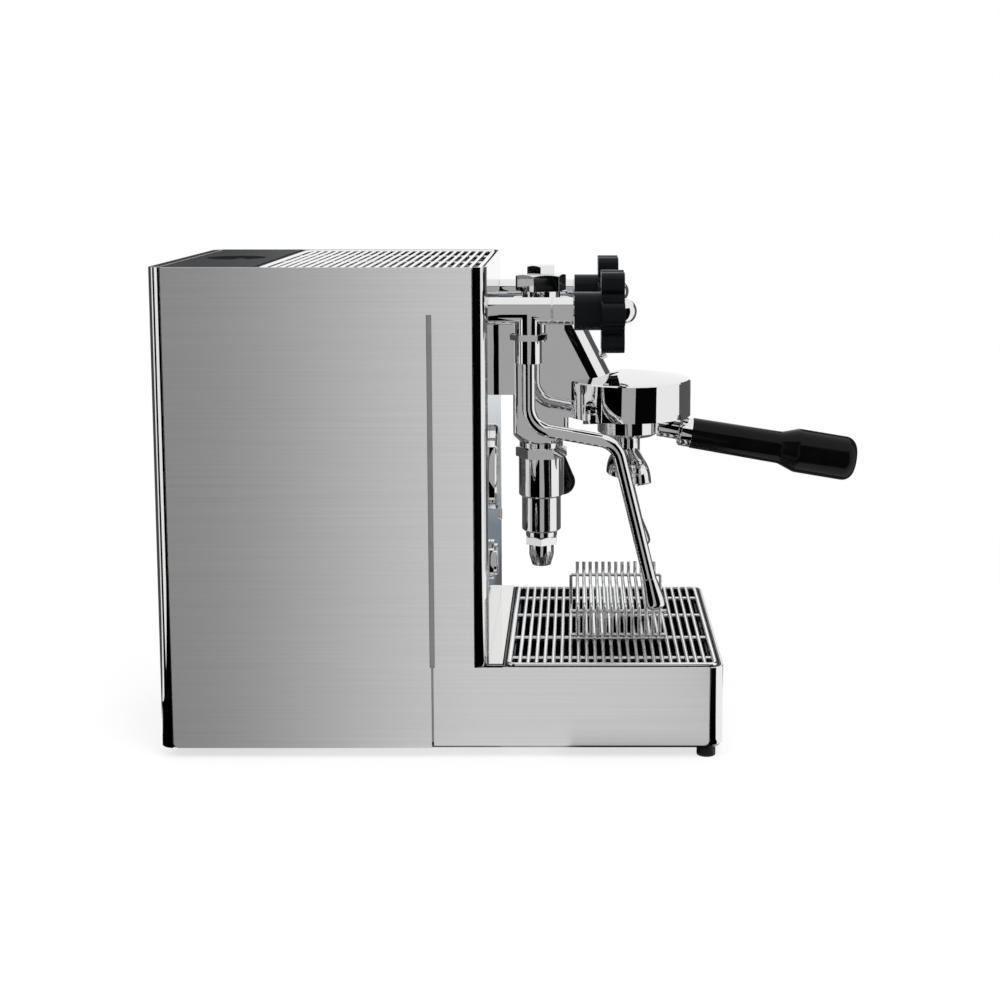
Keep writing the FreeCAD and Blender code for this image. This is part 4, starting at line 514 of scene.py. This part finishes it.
def skin(node: str, width_mm: float, segments: int = 3) -> bpy.types.Object:
    """Copy a solid's mesh, weld its triangles, join its flats and round its edges.

    Args:
        node: Name of the solid.
        width_mm: Width of the edge rounds.
        segments: Faces across each round.

    Returns:
        The finished copy, not yet riding on its body.
    """
    piece = bpy.data.objects.new(node + "_finished", NODES[node].data.copy())
    bpy.context.scene.collection.objects.link(piece)
    open_mesh(piece)
    bpy.ops.mesh.customdata_custom_splitnormals_clear()
    bpy.ops.mesh.remove_doubles(threshold=WELD)
    bpy.ops.mesh.dissolve_limited(angle_limit=FLAT_ANGLE)
    close_mesh()
    soften(piece, width_mm, segments)
    return piece


def turn_about_middle(piece: bpy.types.Object, degrees: float) -> None:
    """Turn a nut about its own upright axis.

    Args:
        piece: Nut whose place is in its mesh.
        degrees: Angle, anticlockwise from above.
    """
    corners = [Vector(corner) for corner in piece.bound_box]
    middle = sum(corners, Vector()) / len(corners)
    open_mesh(piece)
    bpy.ops.transform.rotate(value=math.radians(-degrees), orient_axis="Z", center_override=middle)
    close_mesh()


def dress(piece: bpy.types.Object, finish: Finish) -> None:
    """Give a piece one finish all over.

    Args:
        piece: Object to dress.
        finish: Finish to use.
    """
    piece.data.materials.clear()
    piece.data.materials.append(finish.material())


def fit(piece: bpy.types.Object, *nodes: str, finish: Finish | None = None) -> bpy.types.Object:
    """Let a piece stand for solids, ride on their body and take the finish of their slot.

    Args:
        piece: Finished object.
        nodes: Solids that it stands for; the first one gives its body and the slot whose finish it takes.
        finish: Finish other than the slot's own.

    Returns:
        The piece.
    """
    slot = SLOT_OF[nodes[0]]
    dress(piece, finish or SLOT_FINISH[slot])
    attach(piece, BODY_OF[nodes[0]])
    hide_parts(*nodes)
    LOG.info("%s stands for %s, %d faces", piece.name, ", ".join(nodes), len(piece.data.polygons))
    return piece


def add_piece(piece: bpy.types.Object, body: str, finish: Finish) -> None:
    """Let a new piece ride on a body with a finish.

    Args:
        piece: Finished object that stands for no solid.
        body: Body that carries it.
        finish: Finish of the piece.
    """
    dress(piece, finish)
    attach(piece, body)
    LOG.info("%s is added, %d faces", piece.name, len(piece.data.polygons))


def keep_faces(piece: bpy.types.Object, wanted: Callable[[Vector], bool]) -> None:
    """Delete the faces whose centre isn't wanted.

    Args:
        piece: Mesh object whose place may still be in its transform.
        wanted: Test of a face's centre in the object's own coordinates.
    """
    open_mesh(piece)
    bpy.ops.mesh.select_all(action="DESELECT")
    close_mesh()
    for face in piece.data.polygons:
        face.select = not wanted(face.center)
    bpy.ops.object.mode_set(mode="EDIT")
    bpy.ops.mesh.delete(type="FACE")
    close_mesh()


def seen_in_mirrors(sheet: bpy.types.Object) -> None:
    """Hide a studio sheet from everything but reflections.

    Args:
        sheet: Card or cloth of the studio.
    """
    for ray in ("camera", "diffuse", "transmission", "shadow", "volume_scatter"):
        setattr(sheet, "visible_" + ray, False)


@dataclass
class SubAssembly:
    """Solids that belong together."""

    edge_mm: float = 0.25

    def finish(
        self, *nodes: str, edge_mm: float | None = None, finish: Finish | None = None, turn: float = 0.0,
    ) -> None:
        """Round the edges of solids whose shape is right, and dress them.

        Args:
            nodes: Solids to finish.
            edge_mm: Width of the rounds, where it isn't the sub-assembly's own.
            finish: Finish other than the slot's own.
            turn: Degrees to turn a nut about its axis.
        """
        for node in nodes:
            piece = skin(node, self.edge_mm if edge_mm is None else edge_mm)
            if turn:
                turn_about_middle(piece, turn)
            fit(piece, node, finish=finish)

    def leave(self, *nodes: str) -> None:
        """Keep the meshes of hidden solids and dress them.

        Args:
            nodes: Solids to dress.
        """
        for node in nodes:
            dress(NODES[node], SLOT_FINISH[SLOT_OF[node]])
            LOG.info("%s keeps its solid", node)


class Audience(Enum):
    """Pieces that a card lights; the others see it black, or not at all if it is sheer."""

    ALL = "all"
    SIDES = "brushed sides"
    CHROME = "all but the casing"


class Run(Enum):
    """Way in which a card's tone changes."""

    AROUND = "around"
    UP = "up"


@dataclass
class Card:
    """Upright studio card on an arc, with a skirt along the floor, seen only in reflections."""

    name: str
    start_deg: float
    end_deg: float
    tone: str
    end_tone: str = ""
    run: Run = Run.AROUND
    pole: tuple[float, float] = (0.0, 0.0)
    radius: float = 0.62
    skirt: float = 0.60
    height: float = 0.60
    lift: float = 0.0015
    sheer: bool = False
    audience: Audience = Audience.ALL
    segments: int = 720

    def build(self) -> bpy.types.Object:
        """Draw the whole ring, keep the arc and light it.

        Returns:
            The card.
        """
        clear_selection()
        foot = (*self.pole, self.lift)
        inner = self.radius - self.skirt
        bpy.ops.mesh.primitive_circle_add(
            vertices=self.segments, radius=inner, fill_type="NOTHING", location=foot,
        )
        card = bpy.context.object
        card.name = self.name
        open_mesh(card)
        if self.skirt > 0:
            grow = self.radius / inner
            bpy.ops.mesh.extrude_edges_move()
            bpy.ops.transform.resize(value=(grow, grow, 1.0), center_override=foot)
        bpy.ops.mesh.extrude_edges_move(TRANSFORM_OT_translate={"value": (0, 0, self.height)})
        close_mesh()
        keep_faces(card, self.inside)
        self.light(card)
        seen_in_mirrors(card)
        return card

    def inside(self, centre: Vector) -> bool:
        """Tell whether a face's centre lies on the arc.

        Args:
            centre: Place measured from the card's pole.

        Returns:
            True for a face to keep.
        """
        return self.start_deg <= math.degrees(math.atan2(centre.x, -centre.y)) <= self.end_deg

    def light(self, card: bpy.types.Object) -> None:
        """Give the card its tone, or a change from one tone to another.

        Args:
            card: Mesh of the card.
        """
        paper = bpy.data.materials.new(self.name)
        paper.use_nodes = True
        tree = paper.node_tree
        tree.nodes.clear()
        glow = add_node(tree, "ShaderNodeEmission", {"Color": linear(self.tone)})
        if self.end_tone:
            inputs = {0: self.share(tree), MIX_FIRST: linear(self.tone), MIX_SECOND: linear(self.end_tone)}
            mix = add_node(tree, "ShaderNodeMix", inputs, data_type="RGBA")
            tree.links.new(mix.outputs[MIX_RESULT], glow.inputs["Color"])
        surface = glow.outputs[0]
        if self.sheer:
            clear = add_node(tree, "ShaderNodeBsdfTransparent")
            surface = add_node(tree, "ShaderNodeAddShader", {0: surface, 1: clear.outputs[0]}).outputs[0]
        add_node(tree, "ShaderNodeOutputMaterial", {"Surface": surface})
        card.data.materials.append(paper)

    def share(self, tree: bpy.types.NodeTree) -> bpy.types.NodeSocket:
        """Work out how far a point is between the card's two tones.

        Args:
            tree: Node tree of the card's paper.

        Returns:
            Socket from 0 at the first tone to 1 at the second.
        """
        place = add_node(tree, "ShaderNodeNewGeometry")
        inputs = {0: place.outputs["Position"], 1: (*self.pole, self.lift)}
        offset = add_node(tree, "ShaderNodeVectorMath", inputs, operation="SUBTRACT")
        split = add_node(tree, "ShaderNodeSeparateXYZ", {0: offset.outputs[0]})
        if self.run is Run.UP:
            inputs = {"Value": split.outputs["Z"], "From Max": self.height}
            return add_node(tree, "ShaderNodeMapRange", inputs).outputs[0]
        inputs = {0: split.outputs["X"], 1: split.outputs["Y"]}
        slope = add_node(tree, "ShaderNodeMath", inputs, operation="DIVIDE")
        start, end = (-math.tan(math.radians(angle)) for angle in (self.start_deg, self.end_deg))
        inputs = {"Value": slope.outputs[0], "From Min": start, "From Max": end}
        return add_node(tree, "ShaderNodeMapRange", inputs, interpolation_type="SMOOTHSTEP").outputs[0]


@dataclass
class Lamp:
    """Soft square lamp that points at the machine and shows in no mirror."""

    name: str
    place: tuple[float, float, float]
    size: float
    watts: float
    aim: tuple[float, float, float] = (0.0, 0.0, 0.15)

    def build(self) -> None:
        """Hang the lamp and point it."""
        clear_selection()
        bpy.ops.object.light_add(type="AREA", location=self.place)
        lamp = bpy.context.object
        lamp.name = self.name
        lamp.data.size = self.size
        lamp.data.energy = self.watts
        heading = Vector(self.aim) - Vector(self.place)
        lamp.rotation_euler = heading.to_track_quat("-Z", "Y").to_euler()
        lamp.visible_camera = False
        lamp.visible_glossy = False


@dataclass
class Studio:
    """White floor and surroundings, soft lamps, reflection cards and the camera."""

    world_strength: float = 0.75
    floor_half: float = 8.0
    shadow_share: float = 0.30
    fade_start: float = 0.30
    fade_end: float = 0.75
    lamps: tuple[Lamp, ...] = (
        Lamp("key", (0.9, -1.3, 1.9), 1.4, 24.0),
        Lamp("fill", (-1.3, -0.9, 1.5), 1.2, 12.0),
        Lamp("rim", (0.3, 1.6, 1.6), 1.2, 14.0),
    )
    lens_mm: float = 56.56
    sensor_mm: float = 36.0
    shift: tuple[float, float] = (-0.0753, -0.165)
    camera_place: tuple[float, float, float] = (0.04264, -1.22204, 0.43911)
    pitch: float = 0.1127
    mirrored_camera: tuple[float, float] = (0.043, 1.002)
    side_pieces: tuple[str, ...] = (
        "left_side_panel_finished", "right_side_panel_finished", "left_slit_backing", "right_slit_backing",
    )
    corner_pieces: tuple[str, ...] = ("front_panel_finished", "rear_panel_finished")

    def cards(self) -> list[Card]:
        """List the cards: dark, grey and white fields that give the metal its bands.

        Returns:
            The cards, named as seen from the camera.
        """
        # The brushed sides mirror the camera's own side, so their cards stand round the mirrored camera.
        side = {
            "pole": self.mirrored_camera, "radius": 1.62, "skirt": 0.495, "lift": 0.003, "height": 1.3,
            "audience": Audience.SIDES,
        }
        # To the chrome the side cards are black, and this sheer grey stands before them.
        flag = {
            "radius": 0.58, "skirt": 0.56, "lift": 0.006, "height": 1.12,
            "sheer": True, "audience": Audience.CHROME,
        }
        # The far side gets a plain grey in the views from there.
        far = {"radius": 0.57, "skirt": 0.55, "lift": 0.007, "sheer": True, "audience": Audience.SIDES}
        low = {"height": 0.20}
        return [
            Card("card_rear", -180, -150, "#5A5A5A", **low),
            Card("card_rear_left", -150, -82, "#4A4A4A"),
            Card("card_stripe", -74, -63, "#060606"),
            Card("card_side_rear", -21, -15.5, "#949494", **side),
            Card("card_side", -15.5, -2.6, "#949494", "#E2E2E2", **side),
            Card("card_side_front", -2.6, 6.5, "#E2E2E2", **side),
            Card("card_flag", -6, 18, "#AFAFAF", **flag),
            Card("card_black", 18, 54, "#060606"),
            Card("card_right", 100, 150, "#5A5A5A"),
            Card("card_rear_right", 150, 160, "#5A5A5A", **low),
            Card("card_backdrop", 160, 180, "#78818A", "#EEF2F5", run=Run.UP, **low),
            Card("card_far_right", 95, 180, "#C0C0C0", **far),
            Card("card_far_left", -180, -95, "#C0C0C0", **far),
        ]

    def audiences(self) -> dict[Audience, bpy.types.Collection]:
        """Collect the pieces that the cards light, or leave out.

        Returns:
            Collection of pieces by audience.
        """
        sides = bpy.data.collections.new("brushed_sides")
        others = bpy.data.collections.new("all_but_casing")
        for name in self.side_pieces:
            sides.objects.link(bpy.data.objects[name])
        for name in self.side_pieces + self.corner_pieces:
            others.objects.link(bpy.data.objects[name])
        for row in others.collection_objects:
            row.light_linking.link_state = "EXCLUDE"
        return {Audience.SIDES: sides, Audience.CHROME: others}

    def build(self) -> None:
        """Set up everything around the machine."""
        self.world()
        self.floor()
        audiences = self.audiences()
        for card in self.cards():
            sheet = card.build()
            if card.audience in audiences:
                sheet.light_linking.receiver_collection = audiences[card.audience]
        for lamp in self.lamps:
            lamp.build()
        self.camera()

    def world(self) -> None:
        """White all round for camera, mirror and glass, a plain level for the rest."""
        world = bpy.context.scene.world or bpy.data.worlds.new("studio")
        bpy.context.scene.world = world
        world.use_nodes = True
        tree = world.node_tree
        tree.nodes.clear()
        inputs = {"Value": self.seen(tree), "To Min": self.world_strength, "To Max": 1.0}
        level = add_node(tree, "ShaderNodeMapRange", inputs)
        inputs = {"Color": linear("#FFFFFF"), "Strength": level.outputs[0]}
        white = add_node(tree, "ShaderNodeBackground", inputs)
        add_node(tree, "ShaderNodeOutputWorld", {"Surface": white.outputs[0]})

    def seen(self, tree: bpy.types.NodeTree) -> bpy.types.NodeSocket:
        """Say whether a ray shows its target: straight, in a mirror or through glass.

        Args:
            tree: Node tree that gets the test.

        Returns:
            Socket that is 1 for such rays and 0 for the others.
        """
        path = add_node(tree, "ShaderNodeLightPath")
        inputs = {0: path.outputs["Is Camera Ray"], 1: path.outputs["Is Glossy Ray"]}
        either = add_node(tree, "ShaderNodeMath", inputs, operation="MAXIMUM")
        inputs = {0: either.outputs[0], 1: path.outputs["Is Transmission Ray"]}
        return add_node(tree, "ShaderNodeMath", inputs, operation="MAXIMUM").outputs[0]

    def floor(self) -> None:
        """Lay a white floor: it keeps a soft shadow near the machine and is plain white further out."""
        clear_selection()
        bpy.ops.mesh.primitive_grid_add(x_subdivisions=2, y_subdivisions=2, size=2 * self.floor_half)
        floor = bpy.context.object
        floor.name = "studio_floor"
        paper = bpy.data.materials.new("white_paper")
        paper.use_nodes = True
        tree = paper.node_tree
        tree.nodes.clear()
        place = add_node(tree, "ShaderNodeNewGeometry")
        reach = add_node(tree, "ShaderNodeVectorMath", {0: place.outputs["Position"]}, operation="LENGTH")
        inputs = {
            "Value": reach.outputs["Value"], "From Min": self.fade_start, "From Max": self.fade_end,
            "To Min": 1.0 - self.shadow_share, "To Max": 1.0,
        }
        far = add_node(tree, "ShaderNodeMapRange", inputs, interpolation_type="SMOOTHSTEP")
        inputs = {0: far.outputs[0], 1: self.seen(tree)}
        plain = add_node(tree, "ShaderNodeMath", inputs, operation="MULTIPLY")
        matt = add_node(tree, "ShaderNodeBsdfDiffuse", {"Color": linear("#FAFAFA")})
        glow = add_node(tree, "ShaderNodeEmission", {"Color": linear("#FFFFFF")})
        inputs = {0: plain.outputs[0], 1: matt.outputs[0], 2: glow.outputs[0]}
        mixed = add_node(tree, "ShaderNodeMixShader", inputs)
        add_node(tree, "ShaderNodeOutputMaterial", {"Surface": mixed.outputs[0]})
        floor.data.materials.append(paper)

    def camera(self) -> None:
        """Stand the camera at the machine's left side, a little above its top."""
        data = bpy.data.cameras.new("camera")
        data.lens = self.lens_mm
        data.sensor_width = self.sensor_mm
        data.shift_x, data.shift_y = self.shift
        camera = bpy.data.objects.new("camera", data)
        bpy.context.scene.collection.objects.link(camera)
        camera.location = self.camera_place
        camera.rotation_euler = (math.pi / 2 - self.pitch, 0.0, 0.0)
        bpy.context.scene.camera = camera


@dataclass
class SlitBacking:
    """Strip of sheet behind the long slit in each side, so that the slit shows metal and not the inside."""

    from_front_mm: float = 31.2
    half_width_mm: float = 4.0
    low_mm: float = 12.0
    high_mm: float = 330.0
    face_y_mm: float = 108.4
    thickness_mm: float = 0.8
    edge_mm: float = 0.2

    def build(self) -> None:
        """Extrude one strip for each side."""
        slit_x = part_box("front_panel")[0][0] - self.from_front_mm * MM
        for side, name in ((-1, "left"), (1, "right")):
            clear_selection()
            centre = (slit_x, side * self.face_y_mm * MM, (self.low_mm + self.high_mm) / 2 * MM)
            bpy.ops.mesh.primitive_plane_add(size=1.0, location=centre, rotation=(math.pi / 2, 0.0, 0.0))
            strip = bpy.context.object
            strip.name = name + "_slit_backing"
            strip.scale = (2 * self.half_width_mm * MM, (self.high_mm - self.low_mm) * MM, 1.0)
            bpy.ops.object.transform_apply(location=True, rotation=True, scale=True)
            open_mesh(strip)
            inward = (0.0, -side * self.thickness_mm * MM, 0.0)
            bpy.ops.mesh.extrude_region_move(TRANSFORM_OT_translate={"value": inward})
            bpy.ops.mesh.select_all(action="SELECT")
            bpy.ops.mesh.normals_make_consistent(inside=False)
            close_mesh()
            soften(strip, self.edge_mm)
            add_piece(strip, "machine", MILL_STEEL)


@dataclass
class NozzleKnurl:
    """Knurled sleeve on the tapered end of the drain nozzle."""

    start_mm: float = 0.1
    length_mm: float = 7.8
    low_radius_mm: float = 7.35
    high_radius_mm: float = 9.75
    teeth: int = 40
    depth_mm: float = 0.35
    land_mm: float = 0.18

    def build(self) -> None:
        """Taper a tube and press a hollow into each of its faces."""
        clear_selection()
        low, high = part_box("drain_nozzle")
        middle_z = low[2] + (self.start_mm + self.length_mm / 2) * MM
        place = ((low[0] + high[0]) / 2, (low[1] + high[1]) / 2, middle_z)
        bpy.ops.mesh.primitive_cone_add(
            vertices=self.teeth, radius1=self.low_radius_mm * MM, radius2=self.high_radius_mm * MM,
            depth=self.length_mm * MM, end_fill_type="NOTHING", location=place,
        )
        sleeve = bpy.context.object
        sleeve.name = "nozzle_knurl"
        bpy.ops.object.transform_apply(location=True)
        open_mesh(sleeve)
        bpy.ops.mesh.inset(use_individual=True, thickness=self.land_mm * MM, depth=-self.depth_mm * MM)
        close_mesh()
        soften(sleeve, 0.0)
        # The knurl's grey colour is painted shade for its cuts.
        add_piece(sleeve, "machine", CHROME_PAINTED_SHADE)


@dataclass
class DialPrint:
    """Scale on the gauge's dial: long and short ticks, and plain numbers."""

    lift_mm: float = 0.04
    zero_deg: float = 225.0
    sweep_deg: float = 270.0
    divisions: int = 30
    long_every: int = 5
    numbers: tuple[int, ...] = (0, 5, 10, 15)
    tick_radius_mm: float = 26.0
    long_mm: float = 5.0
    short_mm: float = 3.0
    bold_mm: float = 0.8
    fine_mm: float = 0.45
    number_radius_mm: float = 16.5
    number_mm: float = 6.0
    rise_mm: float = 0.08

    def build(self) -> None:
        """Make the ticks from one bar and the numbers from text, and join them."""
        pieces = [self.tick(index) for index in range(self.divisions + 1)]
        step = self.sweep_deg / (len(self.numbers) - 1)
        for index, number in enumerate(self.numbers):
            pieces.append(self.number(str(number), self.zero_deg - step * index))
        clear_selection()
        for piece in pieces:
            piece.select_set(True)
        bpy.context.view_layer.objects.active = pieces[0]
        bpy.ops.object.join()
        scale = bpy.context.object
        scale.name = "dial_scale"
        self.place(scale)
        add_piece(scale, "machine", DIAL_BLACK)

    def spoke(self, degrees: float, radius_mm: float) -> tuple[float, float]:
        """Give a point on the flat dial.

        Args:
            degrees: Its angle.
            radius_mm: Its distance from the middle.

        Returns:
            Its place in metres.
        """
        angle = math.radians(degrees)
        return radius_mm * MM * math.cos(angle), radius_mm * MM * math.sin(angle)

    def tick(self, index: int) -> bpy.types.Object:
        """Extrude one tick from a plane.

        Args:
            index: Number of the tick from zero.

        Returns:
            The tick, on the flat dial.
        """
        whole = index % self.long_every == 0
        length = self.long_mm if whole else self.short_mm
        degrees = self.zero_deg - self.sweep_deg * index / self.divisions
        clear_selection()
        place = (*self.spoke(degrees, self.tick_radius_mm - length / 2), 0.0)
        bpy.ops.mesh.primitive_plane_add(size=1.0, location=place, rotation=(0.0, 0.0, math.radians(degrees)))
        bar = bpy.context.object
        bar.scale = (length * MM, (self.bold_mm if whole else self.fine_mm) * MM, 1.0)
        bpy.ops.object.transform_apply(location=True, rotation=True, scale=True)
        open_mesh(bar)
        bpy.ops.mesh.extrude_region_move(TRANSFORM_OT_translate={"value": (0.0, 0.0, self.rise_mm * MM)})
        close_mesh()
        return bar

    def number(self, text: str, degrees: float) -> bpy.types.Object:
        """Write one number as a mesh.

        Args:
            text: The number.
            degrees: Its angle on the dial.

        Returns:
            The number, on the flat dial.
        """
        clear_selection()
        place = (*self.spoke(degrees, self.number_radius_mm), 0.0)
        bpy.ops.object.text_add(location=place)
        words = bpy.context.object
        words.data.body = text
        words.data.align_x = "CENTER"
        words.data.align_y = "CENTER"
        words.data.size = self.number_mm * MM
        words.data.extrude = self.rise_mm * MM / 2
        bpy.ops.object.convert(target="MESH")
        bpy.ops.object.transform_apply(location=True, rotation=True, scale=True)
        return words

    def place(self, piece: bpy.types.Object) -> None:
        """Stand the flat dial up so that it faces the user.

        Args:
            piece: Joined scale.
        """
        low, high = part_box("gauge_dial")
        face = high[0] + self.lift_mm * MM
        middle_y, middle_z = (low[1] + high[1]) / 2, (low[2] + high[2]) / 2
        facing = Matrix(((0, 0, 1, face), (1, 0, 0, middle_y), (0, 1, 0, middle_z), (0, 0, 0, 1)))
        piece.matrix_world = facing
        take_up(piece)
        bpy.ops.object.transform_apply(location=True, rotation=True, scale=True)


@dataclass
class Casing(SubAssembly):
    """Walls, floor and feet of the body."""

    slit: SlitBacking = field(default_factory=SlitBacking)

    def build(self) -> None:
        """Finish the sheets and back the slits."""
        self.finish("base_plate", "left_side_panel", "right_side_panel", "front_panel", "feet", "power_inlet")
        self.finish("rear_panel", finish=WRAP_STEEL)
        self.leave("tank_shelf")
        self.slit.build()


@dataclass
class TopDeck(SubAssembly):
    """Pan and rack for cups, and the tank under its lid."""

    lid_edge_mm: float = 0.6
    rod_trim_mm: float = 0.35

    def build(self) -> None:
        """Finish the lid and the pan, and slim the rods of the rack a little."""
        self.finish("tank_lid", edge_mm=self.lid_edge_mm)
        # The cup tray's dull dark grey is painted shade.
        self.finish("cup_tray", finish=PAN_STEEL_PAINTED_SHADE)
        rack = skin("cup_rack", 0.0)
        apply_modifier(rack, "DISPLACE", strength=-self.rod_trim_mm * MM, mid_level=0.0)
        fit(rack, "cup_rack")
        self.leave("water_tank")


@dataclass
class DripTray(SubAssembly):
    """Tray with its polished front, the grille and the raised stand."""

    def build(self) -> None:
        """Finish the tray and the wires on it."""
        # The drip tray's dull dark grey is painted shade.
        self.finish("drip_tray", finish=PAN_STEEL_PAINTED_SHADE)
        self.finish("tray_front")
        self.finish("drip_grille", "cup_stand", edge_mm=0.0)


@dataclass
class Group(SubAssembly):
    """Casting with its bell, column, chamber and nozzle."""

    cast_edge_mm: float = 1.2
    nut_turn: float = 15.0
    corner_turn: float = 30.0
    knurl: NozzleKnurl = field(default_factory=NozzleKnurl)

    def build(self) -> None:
        """Finish the casting and what is screwed into it."""
        self.finish("group_body", edge_mm=self.cast_edge_mm)
        self.finish("bleed_screw", "infusion_chamber")
        self.finish("group_top_nut", turn=self.nut_turn)
        self.finish("group_cap", "drain_nozzle", turn=self.corner_turn)
        self.leave("group_gasket", "shower_screen")
        self.knurl.build()


@dataclass
class Lever(SubAssembly):
    """Lever on the far side of the group."""

    def build(self) -> None:
        """Finish the gland, the arm and the grip."""
        self.finish("cam_gland_nut", "brew_lever", "lever_grip")


@dataclass
class FilterHolder(SubAssembly):
    """Portafilter with its ferrule, handle, spouts and basket."""

    handle_edge_mm: float = 0.6

    def build(self) -> None:
        """Finish the metal and the handle."""
        self.finish("portafilter", "portafilter_ferrule", "double_spout")
        self.finish("portafilter_handle", edge_mm=self.handle_edge_mm)
        self.leave("filter_basket")


@dataclass
class Valves(SubAssembly):
    """Steam valve and water valve with their knobs and wands."""

    knob_edge_mm: float = 1.6

    def build(self) -> None:
        """Finish each valve from its barrel to the wand's tip."""
        self.finish("swivel_nuts")
        for side in ("steam", "water"):
            self.finish(side + "_valve", side + "_knob_cap", side + "_wand", side + "_tip")
            self.finish(side + "_knob", edge_mm=self.knob_edge_mm)
            self.leave(side + "_spindle")
        self.leave("valve_locknuts")


@dataclass
class Gauge(SubAssembly):
    """Pressure gauge on the front panel."""

    scale: DialPrint = field(default_factory=DialPrint)

    def build(self) -> None:
        """Finish the case, glass and needle and print the dial."""
        self.finish("gauge_case", "gauge_glass", "gauge_needle")
        self.leave("gauge_dial")
        self.scale.build()


@dataclass
class Controls(SubAssembly):
    """Power button and lamp."""

    button_edge_mm: float = 1.2

    def build(self) -> None:
        """Finish the button, its ring and the lamp."""
        self.finish("button_bezel", "pilot_lamp")
        self.finish("power_button", edge_mm=self.button_edge_mm)


@dataclass
class Insides(SubAssembly):
    """What the casing hides."""

    def build(self) -> None:
        """Dress the boiler and what serves it."""
        self.leave("boiler", "boiler_cradle", "heating_element", "copper_pipes", "pump", "control_box")


def main() -> None:
    """Build every sub-assembly, then the studio around them."""
    logging.basicConfig(level=logging.INFO)
    bpy.context.scene.view_settings.view_transform = "Standard"
    machine = (
        Casing(), TopDeck(), DripTray(), Group(), Lever(), FilterHolder(), Valves(), Gauge(), Controls(),
        Insides(),
    )
    for assembly in machine:
        assembly.build()
    Studio().build()


if __name__ == "__main__":
    main()
